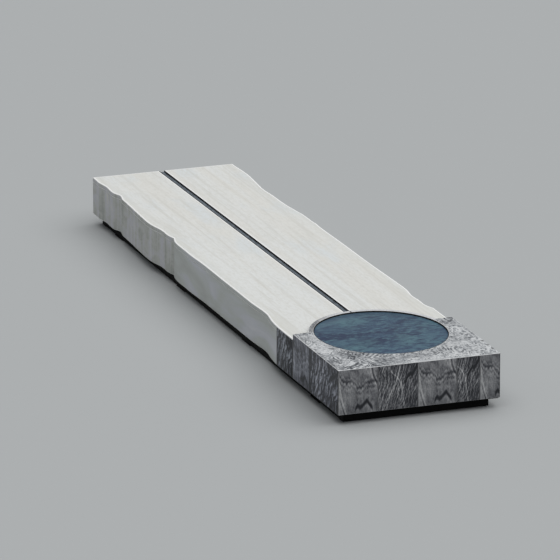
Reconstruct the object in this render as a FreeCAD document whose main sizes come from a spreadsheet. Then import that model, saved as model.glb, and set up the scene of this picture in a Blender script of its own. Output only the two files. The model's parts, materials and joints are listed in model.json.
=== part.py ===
import FreeCAD, Part
import Sketcher
import math
import os

# Backless bench for a street or a square, in millimetres.
#
# A long white stone seat with wavy, natural long edges stands on a black plinth that is set
# back all round.  A narrow channel runs along the seat to an oval blue pool, and the pool
# lies in a raised block clad in veined grey marble.  Inside, steel tube carries the stone.
#
# +X points along the bench to the pool end, +Y across it, +Z up.  The origin is on the
# ground under the middle of the bench.

doc = FreeCAD.newDocument("bench")

# ---------------------------------------------------------------- driving dimensions

SIZES = [
    ("bench_length", 6000, "overall length"),
    ("block_width", 1350, "width of the marble block"),
    ("block_height", 450, "top of the marble block above the ground"),
    ("seat_height", 408, "top of the white seat above the ground"),
    ("plinth_height", 86, "underside of all cladding above the ground"),
    ("end_setback", 70, "plinth set back from both ends"),
    ("rail_size", 80, "square tube of the plinth"),
    ("rail_wall", 5, "its wall"),
    ("rail_left_y", -570, "centre line of the left plinth rail"),
    ("rail_right_y", 525, "centre line of the right plinth rail"),
    ("cap_thickness", 4, "plates that close the end rails"),
    ("pool_end_right_y", 605, "right end of the pool end rail"),
    ("foot_thickness", 6, "base plates under the rails"),
    ("foot_length", 200, "base plate along the bench"),
    ("foot_width", 150, "base plate across the bench"),
    ("anchor_inset", 40, "anchor hole from the rail's inner face"),
    ("anchor_radius", 9, "hole for a ground anchor"),
    ("shelf_thickness", 6, "flat bars that carry the cladding"),
    ("shelf_setback", 10, "shelf bar behind the cladding's face"),

    ("tube_size", 50, "square tube of the inner frame"),
    ("tube_wall", 4, "its wall"),
    ("post_left_y", -560, "centre line of the left posts"),
    ("post_right_y", 515, "centre line of the right posts"),
    ("centre_width", 120, "flat tube under the channel, across the bench"),
    ("centre_y", -33, "its centre line"),
    ("rear_beam_x", 2000, "block beam next to the seat"),
    ("front_beam_x", 2900, "block beam next to the pool end"),
    ("beam_reach", 640, "half length of the block beams"),
    ("joist_y", 250, "joists under the pool, either side of the middle"),

    ("seat_thickness", 40, "white seat slabs"),
    ("strip_thickness", 3, "rubber strips under the seat slabs"),
    ("strip_end_x", 1840, "where the outer rubber strips stop"),
    ("panel_left_y", -590, "inner face of the left side panels"),
    ("panel_right_y", 545, "inner face of the right side panels"),
    ("panel_joint_x", -1020, "joint between the two side panels of a side"),
    ("end_thickness", 30, "panel that closes the far end"),

    ("channel_width", 52.5, "slot between the two seat slabs"),
    ("channel_depth", 11.5, "seat top to the top of the slate strip"),
    ("channel_far_y", -47.8, "middle of the channel at the far end"),
    ("channel_near_y", -10.3, "middle of the channel at the pool"),
    ("trough_wall", 5, "steel trough in the channel"),
    ("trough_play", 0.5, "gap beside the trough"),
    ("trough_drop", 1, "trough's rim below the seat"),
    ("channel_end_gap", 2, "trough and slate short of both ends of the channel"),
    ("packer_half", 20, "half the side of the square pads under the trough"),
    ("slate_width", 39.5, "slate strip in the trough"),
    ("slate_thickness", 8, "the same"),

    ("pool_x", 2159, "centre of the pool"),
    ("pool_half_length", 581, "hole for the pool, from its centre along the bench"),
    ("pool_half_width", 528, "the same, across the bench"),
    ("pool_recess", 12, "pool below the block's top"),
    ("disc_thickness", 20, "blue disc"),
    ("seal_width", 4, "gap between disc and stone, filled by the seal"),
    ("seal_depth", 6, "seal below the top of the disc"),
    ("seal_drop", 1, "seal's rim below the block's top"),
    ("seal_play", 0.3, "seal to each neighbour"),
    ("kerb_width", 37, "marble kerb round the back of the pool"),
    ("kerb_play", 1, "joint between kerb and seat slabs"),
    ("pool_plate_thickness", 10, "steel plate under pool and kerb"),

    ("block_back_x", 1975, "back of the marble block"),
    ("cladding_thickness", 30, "marble on the block's sides and end"),
    ("cladding_start_x", 1603, "where the marble on the sides starts"),
    ("nosing", 8, "white slab left over the marble sides"),

    ("dowel_radius", 5, "dowels between seat slabs and side panels"),
    ("dowel_reach", 25, "dowel in each of the two stones"),
    ("dowel_left_y", -606, "row of left dowels"),
    ("dowel_right_y", 562, "row of right dowels"),
    ("fixing_play", 0.1, "hole radius over dowel or bolt radius"),
    ("bolt_radius", 4, "bolts from the brackets into the side panels"),
    ("bolt_reach", 20, "bolt in the stone"),
    ("bolt_head", 7.5, "corner radius of the hexagon head"),
    ("bolt_head_height", 5, "height of the head"),
    ("bracket_thickness", 5, "folded steel brackets"),
    ("bracket_leg", 60, "leg on the stone"),
    ("bracket_foot", 40, "leg on the post"),
    ("bracket_height", 60, "along the post"),
    ("bracket_z", 180, "underside of the brackets"),
]

sheet = doc.addObject("Spreadsheet::Sheet", "Sizes")
for row, (alias, value, meaning) in enumerate(SIZES, start=1):
    sheet.set(f"A{row}", alias)
    sheet.set(f"B{row}", str(value))
    sheet.set(f"C{row}", meaning)
    sheet.setAlias(f"B{row}", alias)
doc.recompute()


def size(alias):
    """A driving dimension as a number, for outlines that are worked out in code."""
    return float(sheet.get(alias))


# Levels and places that several pieces share, as expressions on the sheet.
HALF_LENGTH = "Sizes.bench_length / 2"
PLINTH_END = "(Sizes.bench_length / 2 - Sizes.end_setback)"
PLINTH_TOP = "Sizes.plinth_height"
SEAT_TOP = "Sizes.seat_height"
SEAT_UNDER = "(Sizes.seat_height - Sizes.seat_thickness)"
FRAME_TOP = "(Sizes.seat_height - Sizes.seat_thickness - Sizes.strip_thickness)"
POST_LENGTH = f"({FRAME_TOP} - Sizes.tube_size - {PLINTH_TOP})"
PLATE_TOP = f"({FRAME_TOP} + Sizes.pool_plate_thickness)"
DISC_TOP = "(Sizes.block_height - Sizes.pool_recess)"
DISC_UNDER = f"({DISC_TOP} - Sizes.disc_thickness)"
FACE_Y = "(Sizes.block_width / 2)"
CLADDING_BACK_Y = "(Sizes.block_width / 2 - Sizes.cladding_thickness)"
LEFT_POST_INSIDE = "(Sizes.post_left_y + Sizes.tube_size / 2)"
RIGHT_POST_INSIDE = "(Sizes.post_right_y - Sizes.tube_size / 2)"
RAIL_LEFT_FACE = "(Sizes.rail_left_y - Sizes.rail_size / 2)"
RAIL_RIGHT_FACE = "(Sizes.rail_right_y + Sizes.rail_size / 2)"

# Stations of the inner frame along the bench: three under the seat, two under the block.
SEAT_STATIONS = [-2850, -1400, 250]
BLOCK_STATIONS = ["Sizes.rear_beam_x", "Sizes.front_beam_x"]
FOOT_X = [-2500, -900, 700, 2300]
PLINTH_CROSS_X = [-1700, 1500]
DOWEL_X = [-2800, -2000, -1180, -860, -200, 500, 1150, 1500]
FRONT_JOINT_Y = [-347, -12, 311, 506]
PACKER_X = [-2900, -2000, -1100, -200, 700, 1500]

# Natural edges of the white stone, as points that a smooth curve runs through.
LEFT_JOINT = (size("panel_joint_x"), -627)
RIGHT_JOINT = (size("panel_joint_x"), 637)
LEFT_FAR_EDGE = [(-3000, -672), (-2900, -675), (-2800, -673), (-2715, -660), (-2560, -665),
                 (-2455, -654), (-2392, -634), (-2320, -646), (-2190, -657), (-1920, -668),
                 (-1700, -676), (-1500, -678), (-1400, -667), (-1300, -649), (-1110, -645),
                 (-1060, -637), LEFT_JOINT]
LEFT_NEAR_EDGE = [LEFT_JOINT, (-970, -643), (-880, -658), (-700, -660), (-510, -661),
                  (-280, -653), (200, -651), (660, -648), (1000, -645), (1306, -641),
                  (1400, -656), (1500, -668), (1603, -675)]
RIGHT_FAR_EDGE = [(-3000, 598), (-2829, 605), (-2600, 611), (-2435, 600), (-2280, 588),
                  (-2124, 580), (-2010, 587), (-1790, 592), (-1650, 596), (-1400, 620),
                  (-1281, 630), (-1159, 630), RIGHT_JOINT]
RIGHT_NEAR_EDGE = [RIGHT_JOINT, (-900, 632), (-690, 634), (-236, 640), (219, 643),
                   (647, 654), (862, 659), (1075, 654), (1179, 640), (1338, 647),
                   (1455, 645), (1525, 661), (1570, 676), (1603, 675)]

# ---------------------------------------------------------------- small helpers

nodes = []

# Turn that lays a piece drawn along +Z along another axis, with its width kept level.
ALONG = {
    "x": FreeCAD.Rotation(FreeCAD.Vector(0, 1, 0), FreeCAD.Vector(0, 0, 1),
                          FreeCAD.Vector(1, 0, 0), "ZXY"),
    "y": FreeCAD.Rotation(FreeCAD.Vector(1, 0, 0), FreeCAD.Vector(0, 0, -1),
                          FreeCAD.Vector(0, 1, 0), "ZXY"),
    "z": FreeCAD.Rotation(),
}


def keep(piece, label):
    """Name a finished sub-part and list it for writing."""
    piece.Label = label
    nodes.append(piece)
    return piece


def place(piece, corner, turn=FreeCAD.Rotation()):
    """Put a piece at a corner given by three expressions."""
    piece.Placement = FreeCAD.Placement(FreeCAD.Vector(), turn)
    for axis, expression in zip("xyz", corner):
        piece.setExpression(f"Placement.Base.{axis}", str(expression))
    return piece


def bar(name, low, extent):
    """A solid rectangular bar from its lowest corner and its three lengths."""
    piece = doc.addObject("Part::Box", name)
    for side, expression in zip(("Length", "Width", "Height"), extent):
        piece.setExpression(side, str(expression))
    return place(piece, low)


def rod(name, radius, length, start, axis="z"):
    """A round rod that starts at a point and runs along an axis."""
    piece = doc.addObject("Part::Cylinder", name)
    piece.setExpression("Radius", str(radius))
    piece.setExpression("Height", str(length))
    return place(piece, start, ALONG[axis])


def oval(name, margin, height, level):
    """A solid plate of the pool's shape, grown by a margin all round."""
    outline = doc.addObject("Part::Ellipse", name + "_outline")
    outline.setExpression("MajorRadius", f"Sizes.pool_half_length + {margin}")
    outline.setExpression("MinorRadius", f"Sizes.pool_half_width + {margin}")
    place(outline, ("Sizes.pool_x", 0, level))
    piece = doc.addObject("Part::Extrusion", name)
    piece.Base = outline
    piece.DirMode = "Custom"
    piece.Dir = FreeCAD.Vector(0, 0, 1)
    piece.setExpression("LengthFwd", str(height))
    piece.Solid = True
    return piece


def wedge(name, near, near_box, far, far_box, turn=FreeCAD.Rotation(), corner=(0, 0, 0)):
    """A mitred slab: one rectangle at the near level, another at the far level.

    Each box is (lowest x, highest x, lowest z, highest z), and the levels are along y.
    """
    piece = doc.addObject("Part::Wedge", name)
    piece.setExpression("Ymin", str(near))
    piece.setExpression("Ymax", str(far))
    for side, expression in zip(("Xmin", "Xmax", "Zmin", "Zmax"), near_box):
        piece.setExpression(side, str(expression))
    for side, expression in zip(("X2min", "X2max", "Z2min", "Z2max"), far_box):
        piece.setExpression(side, str(expression))
    return place(piece, corner, turn)


def group(label, pieces):
    """Identical small pieces as one sub-part of separate solids."""
    piece = doc.addObject("Part::Compound", label)
    piece.Links = pieces
    return keep(piece, label)


def cut(name, base, tool):
    """What is left of one piece once another is taken away."""
    piece = doc.addObject("Part::Cut", name)
    piece.Base = base
    piece.Tool = tool
    return piece


def new_body(name):
    """A body and a sketch on its ground plane."""
    body = doc.addObject("PartDesign::Body", name)
    sketch = body.newObject("Sketcher::SketchObject", name + "_outline")
    plane = [item for item in body.Origin.OriginFeatures if item.Role == "XY_Plane"][0]
    sketch.AttachmentSupport = [(plane, "")]
    sketch.MapMode = "FlatFace"
    return body, sketch


def pad(body, sketch, thickness):
    """Raise a body's sketch by a bound thickness."""
    feature = body.newObject("PartDesign::Pad", body.Name + "_pad")
    feature.Profile = sketch
    feature.setExpression("Length", str(thickness))
    body.Tip = feature
    return feature


def rectangle(sketch, name, width, depth):
    """A rectangle about the sketch's origin, with both sizes bound."""
    first = sketch.GeometryCount
    reach = 10
    corners = [FreeCAD.Vector(x * reach, y * reach, 0)
               for x, y in ((-1, -1), (1, -1), (1, 1), (-1, 1))]
    for index in range(4):
        sketch.addGeometry(Part.LineSegment(corners[index], corners[(index + 1) % 4]), False)
    for index in range(4):
        following = first + (index + 1) % 4
        sketch.addConstraint(Sketcher.Constraint("Coincident", first + index, 2, following, 1))
    for index, rule in enumerate(("Horizontal", "Vertical", "Horizontal", "Vertical")):
        sketch.addConstraint(Sketcher.Constraint(rule, first + index))
    sketch.addConstraint(Sketcher.Constraint("Symmetric", first, 1, first + 2, 1, -1, 1))
    across = sketch.addConstraint(
        Sketcher.Constraint("DistanceX", first, 1, first, 2, 2 * reach))
    sketch.renameConstraint(across, name + "_width")
    sketch.setExpression(f"Constraints.{name}_width", width)
    along = sketch.addConstraint(
        Sketcher.Constraint("DistanceY", first + 1, 1, first + 1, 2, 2 * reach))
    sketch.renameConstraint(along, name + "_depth")
    sketch.setExpression(f"Constraints.{name}_depth", depth)


def tube(label, axis, start, length, width, depth, wall):
    """A rectangular hollow section along an axis, its centre line starting at a point."""
    body, sketch = new_body(label)
    rectangle(sketch, "outer", width, depth)
    rectangle(sketch, "inner", f"{width} - 2 * {wall}", f"{depth} - 2 * {wall}")
    pad(body, sketch, length)
    place(body, start, ALONG[axis])
    return keep(body, label)


def draw(sketch, pieces):
    """Lines, arcs and curves that follow each other round a closed outline."""
    for piece in pieces:
        sketch.addGeometry(piece, False)


def line(start, end):
    """A straight side of an outline between two (x, y) points."""
    return Part.LineSegment(FreeCAD.Vector(*start, 0), FreeCAD.Vector(*end, 0))


def natural_edge(points):
    """The smooth curve through the points of a natural stone edge."""
    curve = Part.BSplineCurve()
    curve.interpolate([FreeCAD.Vector(x, y, 0) for x, y in points])
    return curve


def pool_arc(margin, from_angle, to_angle):
    """An arc of the pool's oval grown by a margin, counterclockwise, angles in radians."""
    centre = FreeCAD.Vector(size("pool_x"), 0, 0)
    whole = Part.Ellipse(centre, size("pool_half_length") + margin,
                         size("pool_half_width") + margin)
    return Part.ArcOfEllipse(whole, from_angle, to_angle)


def on_pool(margin, angle):
    """The (x, y) point of the pool's oval grown by a margin."""
    return (size("pool_x") + (size("pool_half_length") + margin) * math.cos(angle),
            (size("pool_half_width") + margin) * math.sin(angle))


def pool_angle(margin, x):
    """Angle on the grown oval, on its right half, of the point at x."""
    return math.acos((x - size("pool_x")) / (size("pool_half_length") + margin))


# ---------------------------------------------------------------- plinth


def plinth():
    """Two end rails with caps, two long rails between them and two cross members."""
    middle = "Sizes.foot_thickness + Sizes.rail_size / 2"
    section = ("Sizes.rail_size", "Sizes.rail_size", "Sizes.rail_wall")
    inner_end = f"({PLINTH_END} - Sizes.rail_size)"
    for side in ("left", "right"):
        tube(f"plinth_rail_{side}", "x", (f"-{inner_end}", f"Sizes.rail_{side}_y", middle),
             f"2 * {inner_end}", *section)
    end_x = f"({PLINTH_END} - Sizes.rail_size / 2)"
    caps = []
    for end, x, right_y in (("far", f"-{end_x}", RAIL_RIGHT_FACE),
                            ("pool", end_x, "Sizes.pool_end_right_y")):
        tube(f"plinth_end_{end}", "y", (x, f"{RAIL_LEFT_FACE} + Sizes.cap_thickness", middle),
             f"{right_y} - {RAIL_LEFT_FACE} - 2 * Sizes.cap_thickness", *section)
        for side, y in (("left", RAIL_LEFT_FACE), ("right", f"{right_y} - Sizes.cap_thickness")):
            caps.append(bar(f"cap_{end}_{side}",
                            (f"{x} - Sizes.rail_size / 2", y, "Sizes.foot_thickness"),
                            ("Sizes.rail_size", "Sizes.cap_thickness", "Sizes.rail_size")))
    group("plinth_end_caps", caps)
    inside = "Sizes.rail_left_y + Sizes.rail_size / 2"
    clear = "Sizes.rail_right_y - Sizes.rail_left_y - Sizes.rail_size"
    for number, x in enumerate(PLINTH_CROSS_X, start=1):
        tube(f"plinth_cross_{number}", "y", (x, inside, middle), clear, *section)


def base_plates():
    """Plates under the rails, each with a tab inside the plinth for a ground anchor."""
    plates = []
    low_y = {"left": RAIL_LEFT_FACE, "right": f"{RAIL_RIGHT_FACE} - Sizes.foot_width"}
    hole_y = {
        "left": "Sizes.rail_left_y + Sizes.rail_size / 2 + Sizes.anchor_inset",
        "right": "Sizes.rail_right_y - Sizes.rail_size / 2 - Sizes.anchor_inset",
    }
    for side in ("left", "right"):
        for number, x in enumerate(FOOT_X, start=1):
            name = f"base_plate_{side}_{number}"
            blank = bar(name + "_blank", (f"{x} - Sizes.foot_length / 2", low_y[side], 0),
                        ("Sizes.foot_length", "Sizes.foot_width", "Sizes.foot_thickness"))
            hole = rod(name + "_hole", "Sizes.anchor_radius", "Sizes.foot_thickness",
                       (x, hole_y[side], 0))
            plates.append(cut(name, blank, hole))
    group("base_plates", plates)


def shelf_bars():
    """Flat bars welded along the plinth's top edge, which the cladding stands on."""
    level = f"{PLINTH_TOP} - Sizes.shelf_thickness"
    reach = f"({FACE_Y} - Sizes.shelf_setback)"
    depth = "Sizes.end_setback - Sizes.shelf_setback"
    side_length = f"{PLINTH_END} - Sizes.cladding_start_x"
    group("shelf_bars", [
        bar("shelf_bar_left", ("Sizes.cladding_start_x", f"-{reach}", level),
            (side_length, f"{RAIL_LEFT_FACE} + {reach}", "Sizes.shelf_thickness")),
        bar("shelf_bar_right", ("Sizes.cladding_start_x", RAIL_RIGHT_FACE, level),
            (f"{side_length} - Sizes.rail_size", f"{reach} - {RAIL_RIGHT_FACE}",
             "Sizes.shelf_thickness")),
        bar("shelf_bar_corner",
            (f"{PLINTH_END} - Sizes.rail_size", "Sizes.pool_end_right_y", level),
            ("Sizes.rail_size", f"{reach} - Sizes.pool_end_right_y", "Sizes.shelf_thickness")),
        bar("shelf_bar_pool", (PLINTH_END, f"-{reach}", level),
            (depth, f"2 * {reach}", "Sizes.shelf_thickness")),
        bar("shelf_bar_far",
            (f"-{HALF_LENGTH} + Sizes.shelf_setback", RAIL_LEFT_FACE, level),
            (depth, f"{RAIL_RIGHT_FACE} - {RAIL_LEFT_FACE}", "Sizes.shelf_thickness")),
    ])


# ---------------------------------------------------------------- inner frame


def inner_frame():
    """Posts on the rails, cross beams and stringers under the seat, beams under the block."""
    section = ("Sizes.tube_size", "Sizes.tube_size", "Sizes.tube_wall")
    for side in ("left", "right"):
        for number, x in enumerate(SEAT_STATIONS + BLOCK_STATIONS, start=1):
            tube(f"post_{side}_{number}", "z", (x, f"Sizes.post_{side}_y", PLINTH_TOP),
                 POST_LENGTH, *section)
    beam_middle = f"{PLINTH_TOP} + {POST_LENGTH} - Sizes.tube_size / 2"
    for number, x in enumerate(SEAT_STATIONS, start=1):
        tube(f"cross_beam_{number}", "y", (x, LEFT_POST_INSIDE, beam_middle),
             f"{RIGHT_POST_INSIDE} - {LEFT_POST_INSIDE}", *section)
    top_middle = f"{FRAME_TOP} - Sizes.tube_size / 2"
    start = f"-{PLINTH_END}"
    run = f"Sizes.rear_beam_x - Sizes.tube_size / 2 + {PLINTH_END}"
    for side in ("left", "right"):
        tube(f"stringer_{side}", "x", (start, f"Sizes.post_{side}_y", top_middle), run, *section)
    tube("stringer_centre", "x", (start, "Sizes.centre_y", top_middle), run,
         "Sizes.centre_width", "Sizes.tube_size", "Sizes.tube_wall")
    for label, x in (("block_beam_rear", "Sizes.rear_beam_x"),
                     ("block_beam_front", "Sizes.front_beam_x")):
        tube(label, "y", (x, "-Sizes.beam_reach", top_middle), "2 * Sizes.beam_reach", *section)
    clear = "Sizes.front_beam_x - Sizes.rear_beam_x - Sizes.tube_size"
    for side, sign in (("left", "-"), ("right", "")):
        tube(f"block_joist_{side}", "x",
             ("Sizes.rear_beam_x + Sizes.tube_size / 2", f"{sign}Sizes.joist_y", top_middle),
             clear, *section)


def slab_risers():
    """Stub tubes that lift the block's top slab above its beams."""
    edge = "(Sizes.beam_reach - Sizes.tube_size / 2)"
    spots = [("Sizes.rear_beam_x", f"-{edge}"), ("Sizes.rear_beam_x", edge),
             ("Sizes.front_beam_x", f"-{edge}"), ("Sizes.front_beam_x", "0"),
             ("Sizes.front_beam_x", edge)]
    risers = []
    for number, (x, y) in enumerate(spots, start=1):
        corner = (f"{x} - Sizes.tube_size / 2", f"{y} - Sizes.tube_size / 2", FRAME_TOP)
        risers.append(bar(f"slab_riser_{number}", corner,
                          ("Sizes.tube_size", "Sizes.tube_size",
                           f"{SEAT_TOP} - {FRAME_TOP}")))
    group("slab_risers", risers)


def bearing_strips():
    """Rubber strips between the stringers and the seat slabs."""
    start = f"-{PLINTH_END}"
    strips = []
    for side in ("left", "right"):
        strips.append(bar(
            f"bearing_strip_{side}",
            (start, f"Sizes.post_{side}_y - Sizes.tube_size / 2", FRAME_TOP),
            (f"Sizes.strip_end_x + {PLINTH_END}", "Sizes.tube_size", "Sizes.strip_thickness")))
    pool_edge = "(Sizes.pool_x - Sizes.pool_half_length - Sizes.kerb_width)"
    strips.append(bar(
        "bearing_strip_centre",
        (start, "Sizes.centre_y - Sizes.centre_width / 2", FRAME_TOP),
        (f"{pool_edge} + {PLINTH_END}", "Sizes.centre_width", "Sizes.strip_thickness")))
    group("bearing_strips", strips)


# ---------------------------------------------------------------- white seat


def channel_slope():
    """Sideways shift of the channel per millimetre of length; it follows the seat's taper."""
    near_x = size("pool_x") - size("pool_half_length") - size("kerb_width")
    run = near_x + size("bench_length") / 2
    return (size("channel_near_y") - size("channel_far_y")) / run


def channel_line(x, sideways=0):
    """The y of the channel's middle line at x, or of a line beside it."""
    slope = channel_slope()
    beyond_far_end = x + size("bench_length") / 2
    return size("channel_far_y") + slope * beyond_far_end + sideways * math.hypot(1, slope)


def channel_meets_pool(margin, sideways):
    """Angle on the grown oval at which a line beside the channel meets it."""
    half_width = size("pool_half_width") + margin
    angle = math.pi
    last_change = 1
    while abs(last_change) > 1e-12:
        x, _ = on_pool(margin, angle)
        closer = math.pi - math.asin(channel_line(x, sideways) / half_width)
        last_change = closer - angle
        angle = closer
    return angle


def seat_blank(side):
    """Half of the white seat: natural edge outside, channel inside, bite for the kerb."""
    body, sketch = new_body(f"seat_{side}_blank")
    sign = -1 if side == "left" else 1
    far_edge = LEFT_FAR_EDGE if side == "left" else RIGHT_FAR_EDGE
    near_edge = LEFT_NEAR_EDGE if side == "left" else RIGHT_NEAR_EDGE
    bite = size("kerb_width") + size("kerb_play")
    back_x = size("block_back_x")
    far_x = -size("bench_length") / 2
    sideways = sign * size("channel_width") / 2
    channel_angle = channel_meets_pool(bite, sideways)
    back_angle = pool_angle(bite, back_x)
    if side == "left":
        back_angle = 2 * math.pi - back_angle
    corner = (back_x, sign * size("block_width") / 2)
    channel_far = (far_x, channel_line(far_x, sideways))
    draw(sketch, [
        line(channel_far, far_edge[0]),
        natural_edge(far_edge),
        natural_edge(near_edge),
        line(near_edge[-1], corner),
        line(corner, on_pool(bite, back_angle)),
        pool_arc(bite, min(back_angle, channel_angle), max(back_angle, channel_angle)),
        line(on_pool(bite, channel_angle), channel_far),
    ])
    pad(body, sketch, "Sizes.seat_thickness")
    return place(body, (0, 0, SEAT_UNDER))


def dowels(side, play=""):
    """The row of dowels of one side, or with play the drills for their holes."""
    reach = "Sizes.dowel_reach"
    return [rod(f"dowel_{side}_{number}{'_drill' if play else ''}",
                f"Sizes.dowel_radius{play}", f"2 * {reach}",
                (x, f"Sizes.dowel_{side}_y", f"{SEAT_UNDER} - {reach}"))
            for number, x in enumerate(DOWEL_X, start=1)]


def drills(name, rods):
    """Several drills as one cutting tool."""
    tool = doc.addObject("Part::Compound", name)
    tool.Links = rods
    return tool


def seat_slabs():
    """Two slabs, rebated over the marble sides and drilled for the dowels."""
    low_y = {"left": f"-{FACE_Y}", "right": CLADDING_BACK_Y}
    for side in ("left", "right"):
        rebate = bar(f"seat_{side}_rebate", ("Sizes.cladding_start_x", low_y[side], SEAT_UNDER),
                     ("Sizes.block_back_x - Sizes.cladding_start_x",
                      "Sizes.cladding_thickness", "Sizes.seat_thickness - Sizes.nosing"))
        tool = drills(f"seat_{side}_tool", dowels(side, " + Sizes.fixing_play") + [rebate])
        slab = cut(f"seat_{side}_slab", seat_blank(side), tool)
        keep(slab, f"seat_slab_{side}")


def panel_blank(name, edge, inner_y):
    """A side panel with a natural outer face and a sawn inner face."""
    body, sketch = new_body(name + "_blank")
    far_corner = (edge[0][0], inner_y)
    near_corner = (edge[-1][0], inner_y)
    draw(sketch, [line(far_corner, edge[0]), natural_edge(edge),
                  line(edge[-1], near_corner), line(near_corner, far_corner)])
    pad(body, sketch, f"{SEAT_UNDER} - {PLINTH_TOP}")
    return place(body, (0, 0, PLINTH_TOP))


def side_panels():
    """Four white side panels, drilled for dowels above and bracket bolts inside."""
    edges = {("left", "far"): LEFT_FAR_EDGE, ("left", "near"): LEFT_NEAR_EDGE,
             ("right", "far"): RIGHT_FAR_EDGE, ("right", "near"): RIGHT_NEAR_EDGE}
    for (side, half), edge in edges.items():
        name = f"side_{side}_{half}"
        tool = drills(name + "_tool", [
            drills(name + "_dowel_drills", dowels(side, " + Sizes.fixing_play")),
            drills(name + "_bolt_drills", bolt_shanks(side, " + Sizes.fixing_play")),
        ])
        blank = panel_blank(name, edge, size(f"panel_{side}_y"))
        keep(cut(name + "_panel", blank, tool), f"side_panel_{side}_{half}")


def end_panel():
    """The flat panel that closes the far end between the side panels."""
    panel = bar("end_panel", (f"-{HALF_LENGTH}", "Sizes.panel_left_y", PLINTH_TOP),
                ("Sizes.end_thickness", "Sizes.panel_right_y - Sizes.panel_left_y",
                 f"{SEAT_UNDER} - {PLINTH_TOP}"))
    keep(panel, "end_panel_far")


# ---------------------------------------------------------------- brackets and fixings


def bracket_spots():
    """Each bracket as (station, direction along the bench): one each side of a seat post."""
    return [(x, sign) for x in SEAT_STATIONS for sign in (-1, 1)]


def bolt_shanks(side, play=""):
    """Shanks of the bolts that go through the brackets into the side panels."""
    outward = "-" if side == "left" else "+"
    shanks = []
    for number, (x, sign) in enumerate(bracket_spots(), start=1):
        along = f"{x} + {sign} * (Sizes.tube_size / 2 + Sizes.bracket_leg / 2)"
        length = "(Sizes.bracket_thickness + Sizes.bolt_reach)"
        inner = f"Sizes.panel_{side}_y {'+' if side == 'left' else '-'} Sizes.bracket_thickness"
        start = f"{inner} - {length}" if outward == "-" else inner
        shanks.append(rod(f"shank_{side}_{number}{'_drill' if play else ''}",
                          f"Sizes.bolt_radius{play}", length,
                          (along, start, "Sizes.bracket_z + Sizes.bracket_height / 2"), "y"))
    return shanks


def bolt_heads(side):
    """Hexagon heads on the shanks, against the brackets' inner faces."""
    heads = []
    for number, (x, sign) in enumerate(bracket_spots(), start=1):
        head = doc.addObject("Part::Prism", f"head_{side}_{number}")
        head.Polygon = 6
        head.setExpression("Circumradius", "Sizes.bolt_head")
        head.setExpression("Height", "Sizes.bolt_head_height")
        start = "Sizes.panel_left_y + Sizes.bracket_thickness"
        if side == "right":
            start = "Sizes.panel_right_y - Sizes.bracket_thickness - Sizes.bolt_head_height"
        along = f"{x} + {sign} * (Sizes.tube_size / 2 + Sizes.bracket_leg / 2)"
        place(head, (along, start, "Sizes.bracket_z + Sizes.bracket_height / 2"), ALONG["y"])
        heads.append(head)
    return heads


def bracket_bolts():
    """Every bolt as a head fused to its shank."""
    bolts = []
    for side in ("left", "right"):
        for head, shank in zip(bolt_heads(side), bolt_shanks(side)):
            bolt = doc.addObject("Part::Fuse", "bolt_" + shank.Name)
            bolt.Base = head
            bolt.Tool = shank
            bolts.append(bolt)
    group("bracket_bolts", bolts)


def panel_brackets():
    """Folded brackets that tie the side panels to the posts."""
    brackets = []
    for side in ("left", "right"):
        leg_y = "Sizes.panel_left_y"
        foot_y = f"{leg_y} + Sizes.bracket_thickness"
        if side == "right":
            leg_y = "Sizes.panel_right_y - Sizes.bracket_thickness"
            foot_y = f"{leg_y} - Sizes.bracket_foot"
        for number, (x, sign) in enumerate(bracket_spots(), start=1):
            name = f"bracket_{side}_{number}"
            post_face = f"({x} + {sign} * Sizes.tube_size / 2)"
            leg_x = post_face
            foot_x = post_face
            if sign < 0:
                leg_x = f"{post_face} - Sizes.bracket_leg"
                foot_x = f"{post_face} - Sizes.bracket_thickness"
            leg = bar(name + "_leg", (leg_x, leg_y, "Sizes.bracket_z"),
                      ("Sizes.bracket_leg", "Sizes.bracket_thickness", "Sizes.bracket_height"))
            foot = bar(name + "_foot", (foot_x, foot_y, "Sizes.bracket_z"),
                       ("Sizes.bracket_thickness", "Sizes.bracket_foot",
                        "Sizes.bracket_height"))
            folded = doc.addObject("Part::Fuse", name + "_folded")
            folded.Base = leg
            folded.Tool = foot
            brackets.append(folded)
    tool = drills("bracket_drills", bolt_shanks("left", " + Sizes.fixing_play")
                  + bolt_shanks("right", " + Sizes.fixing_play"))
    blanks = drills("bracket_blanks", brackets)
    keep(cut("panel_brackets_drilled", blanks, tool), "panel_brackets")


# ---------------------------------------------------------------- channel


def channel_bar(name, sideways, width, level, height):
    """A bar along the channel, a little short of both of its ends."""
    piece = doc.addObject("Part::Box", name)
    piece.setExpression("Length", "Sizes.pool_x - Sizes.pool_half_length - Sizes.kerb_width"
                                  " + Sizes.bench_length / 2 - 2 * Sizes.channel_end_gap")
    piece.setExpression("Width", width)
    piece.setExpression("Height", height)
    turn = FreeCAD.Rotation(FreeCAD.Vector(0, 0, 1), math.degrees(math.atan(channel_slope())))
    shift = turn.multVec(FreeCAD.Vector(size("channel_end_gap"), sideways, 0))
    corner = (f"-{HALF_LENGTH} + {shift.x}", f"Sizes.channel_far_y + {shift.y}", level)
    return place(piece, corner, turn)


def trough():
    """A folded steel trough with an open top and open ends."""
    half = size("channel_width") / 2 - size("trough_play")
    wall = size("trough_wall")
    width = "Sizes.channel_width - 2 * Sizes.trough_play"
    floor = f"({SEAT_TOP} - Sizes.channel_depth - Sizes.slate_thickness - Sizes.trough_wall)"
    height = f"{SEAT_TOP} - Sizes.trough_drop - {floor}"
    outer = channel_bar("trough_blank", -half, width, floor, height)
    inner = channel_bar("trough_hollow", wall - half, f"{width} - 2 * Sizes.trough_wall",
                        f"{floor} + Sizes.trough_wall", height)
    keep(cut("trough_folded", outer, inner), "channel_trough")


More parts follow.
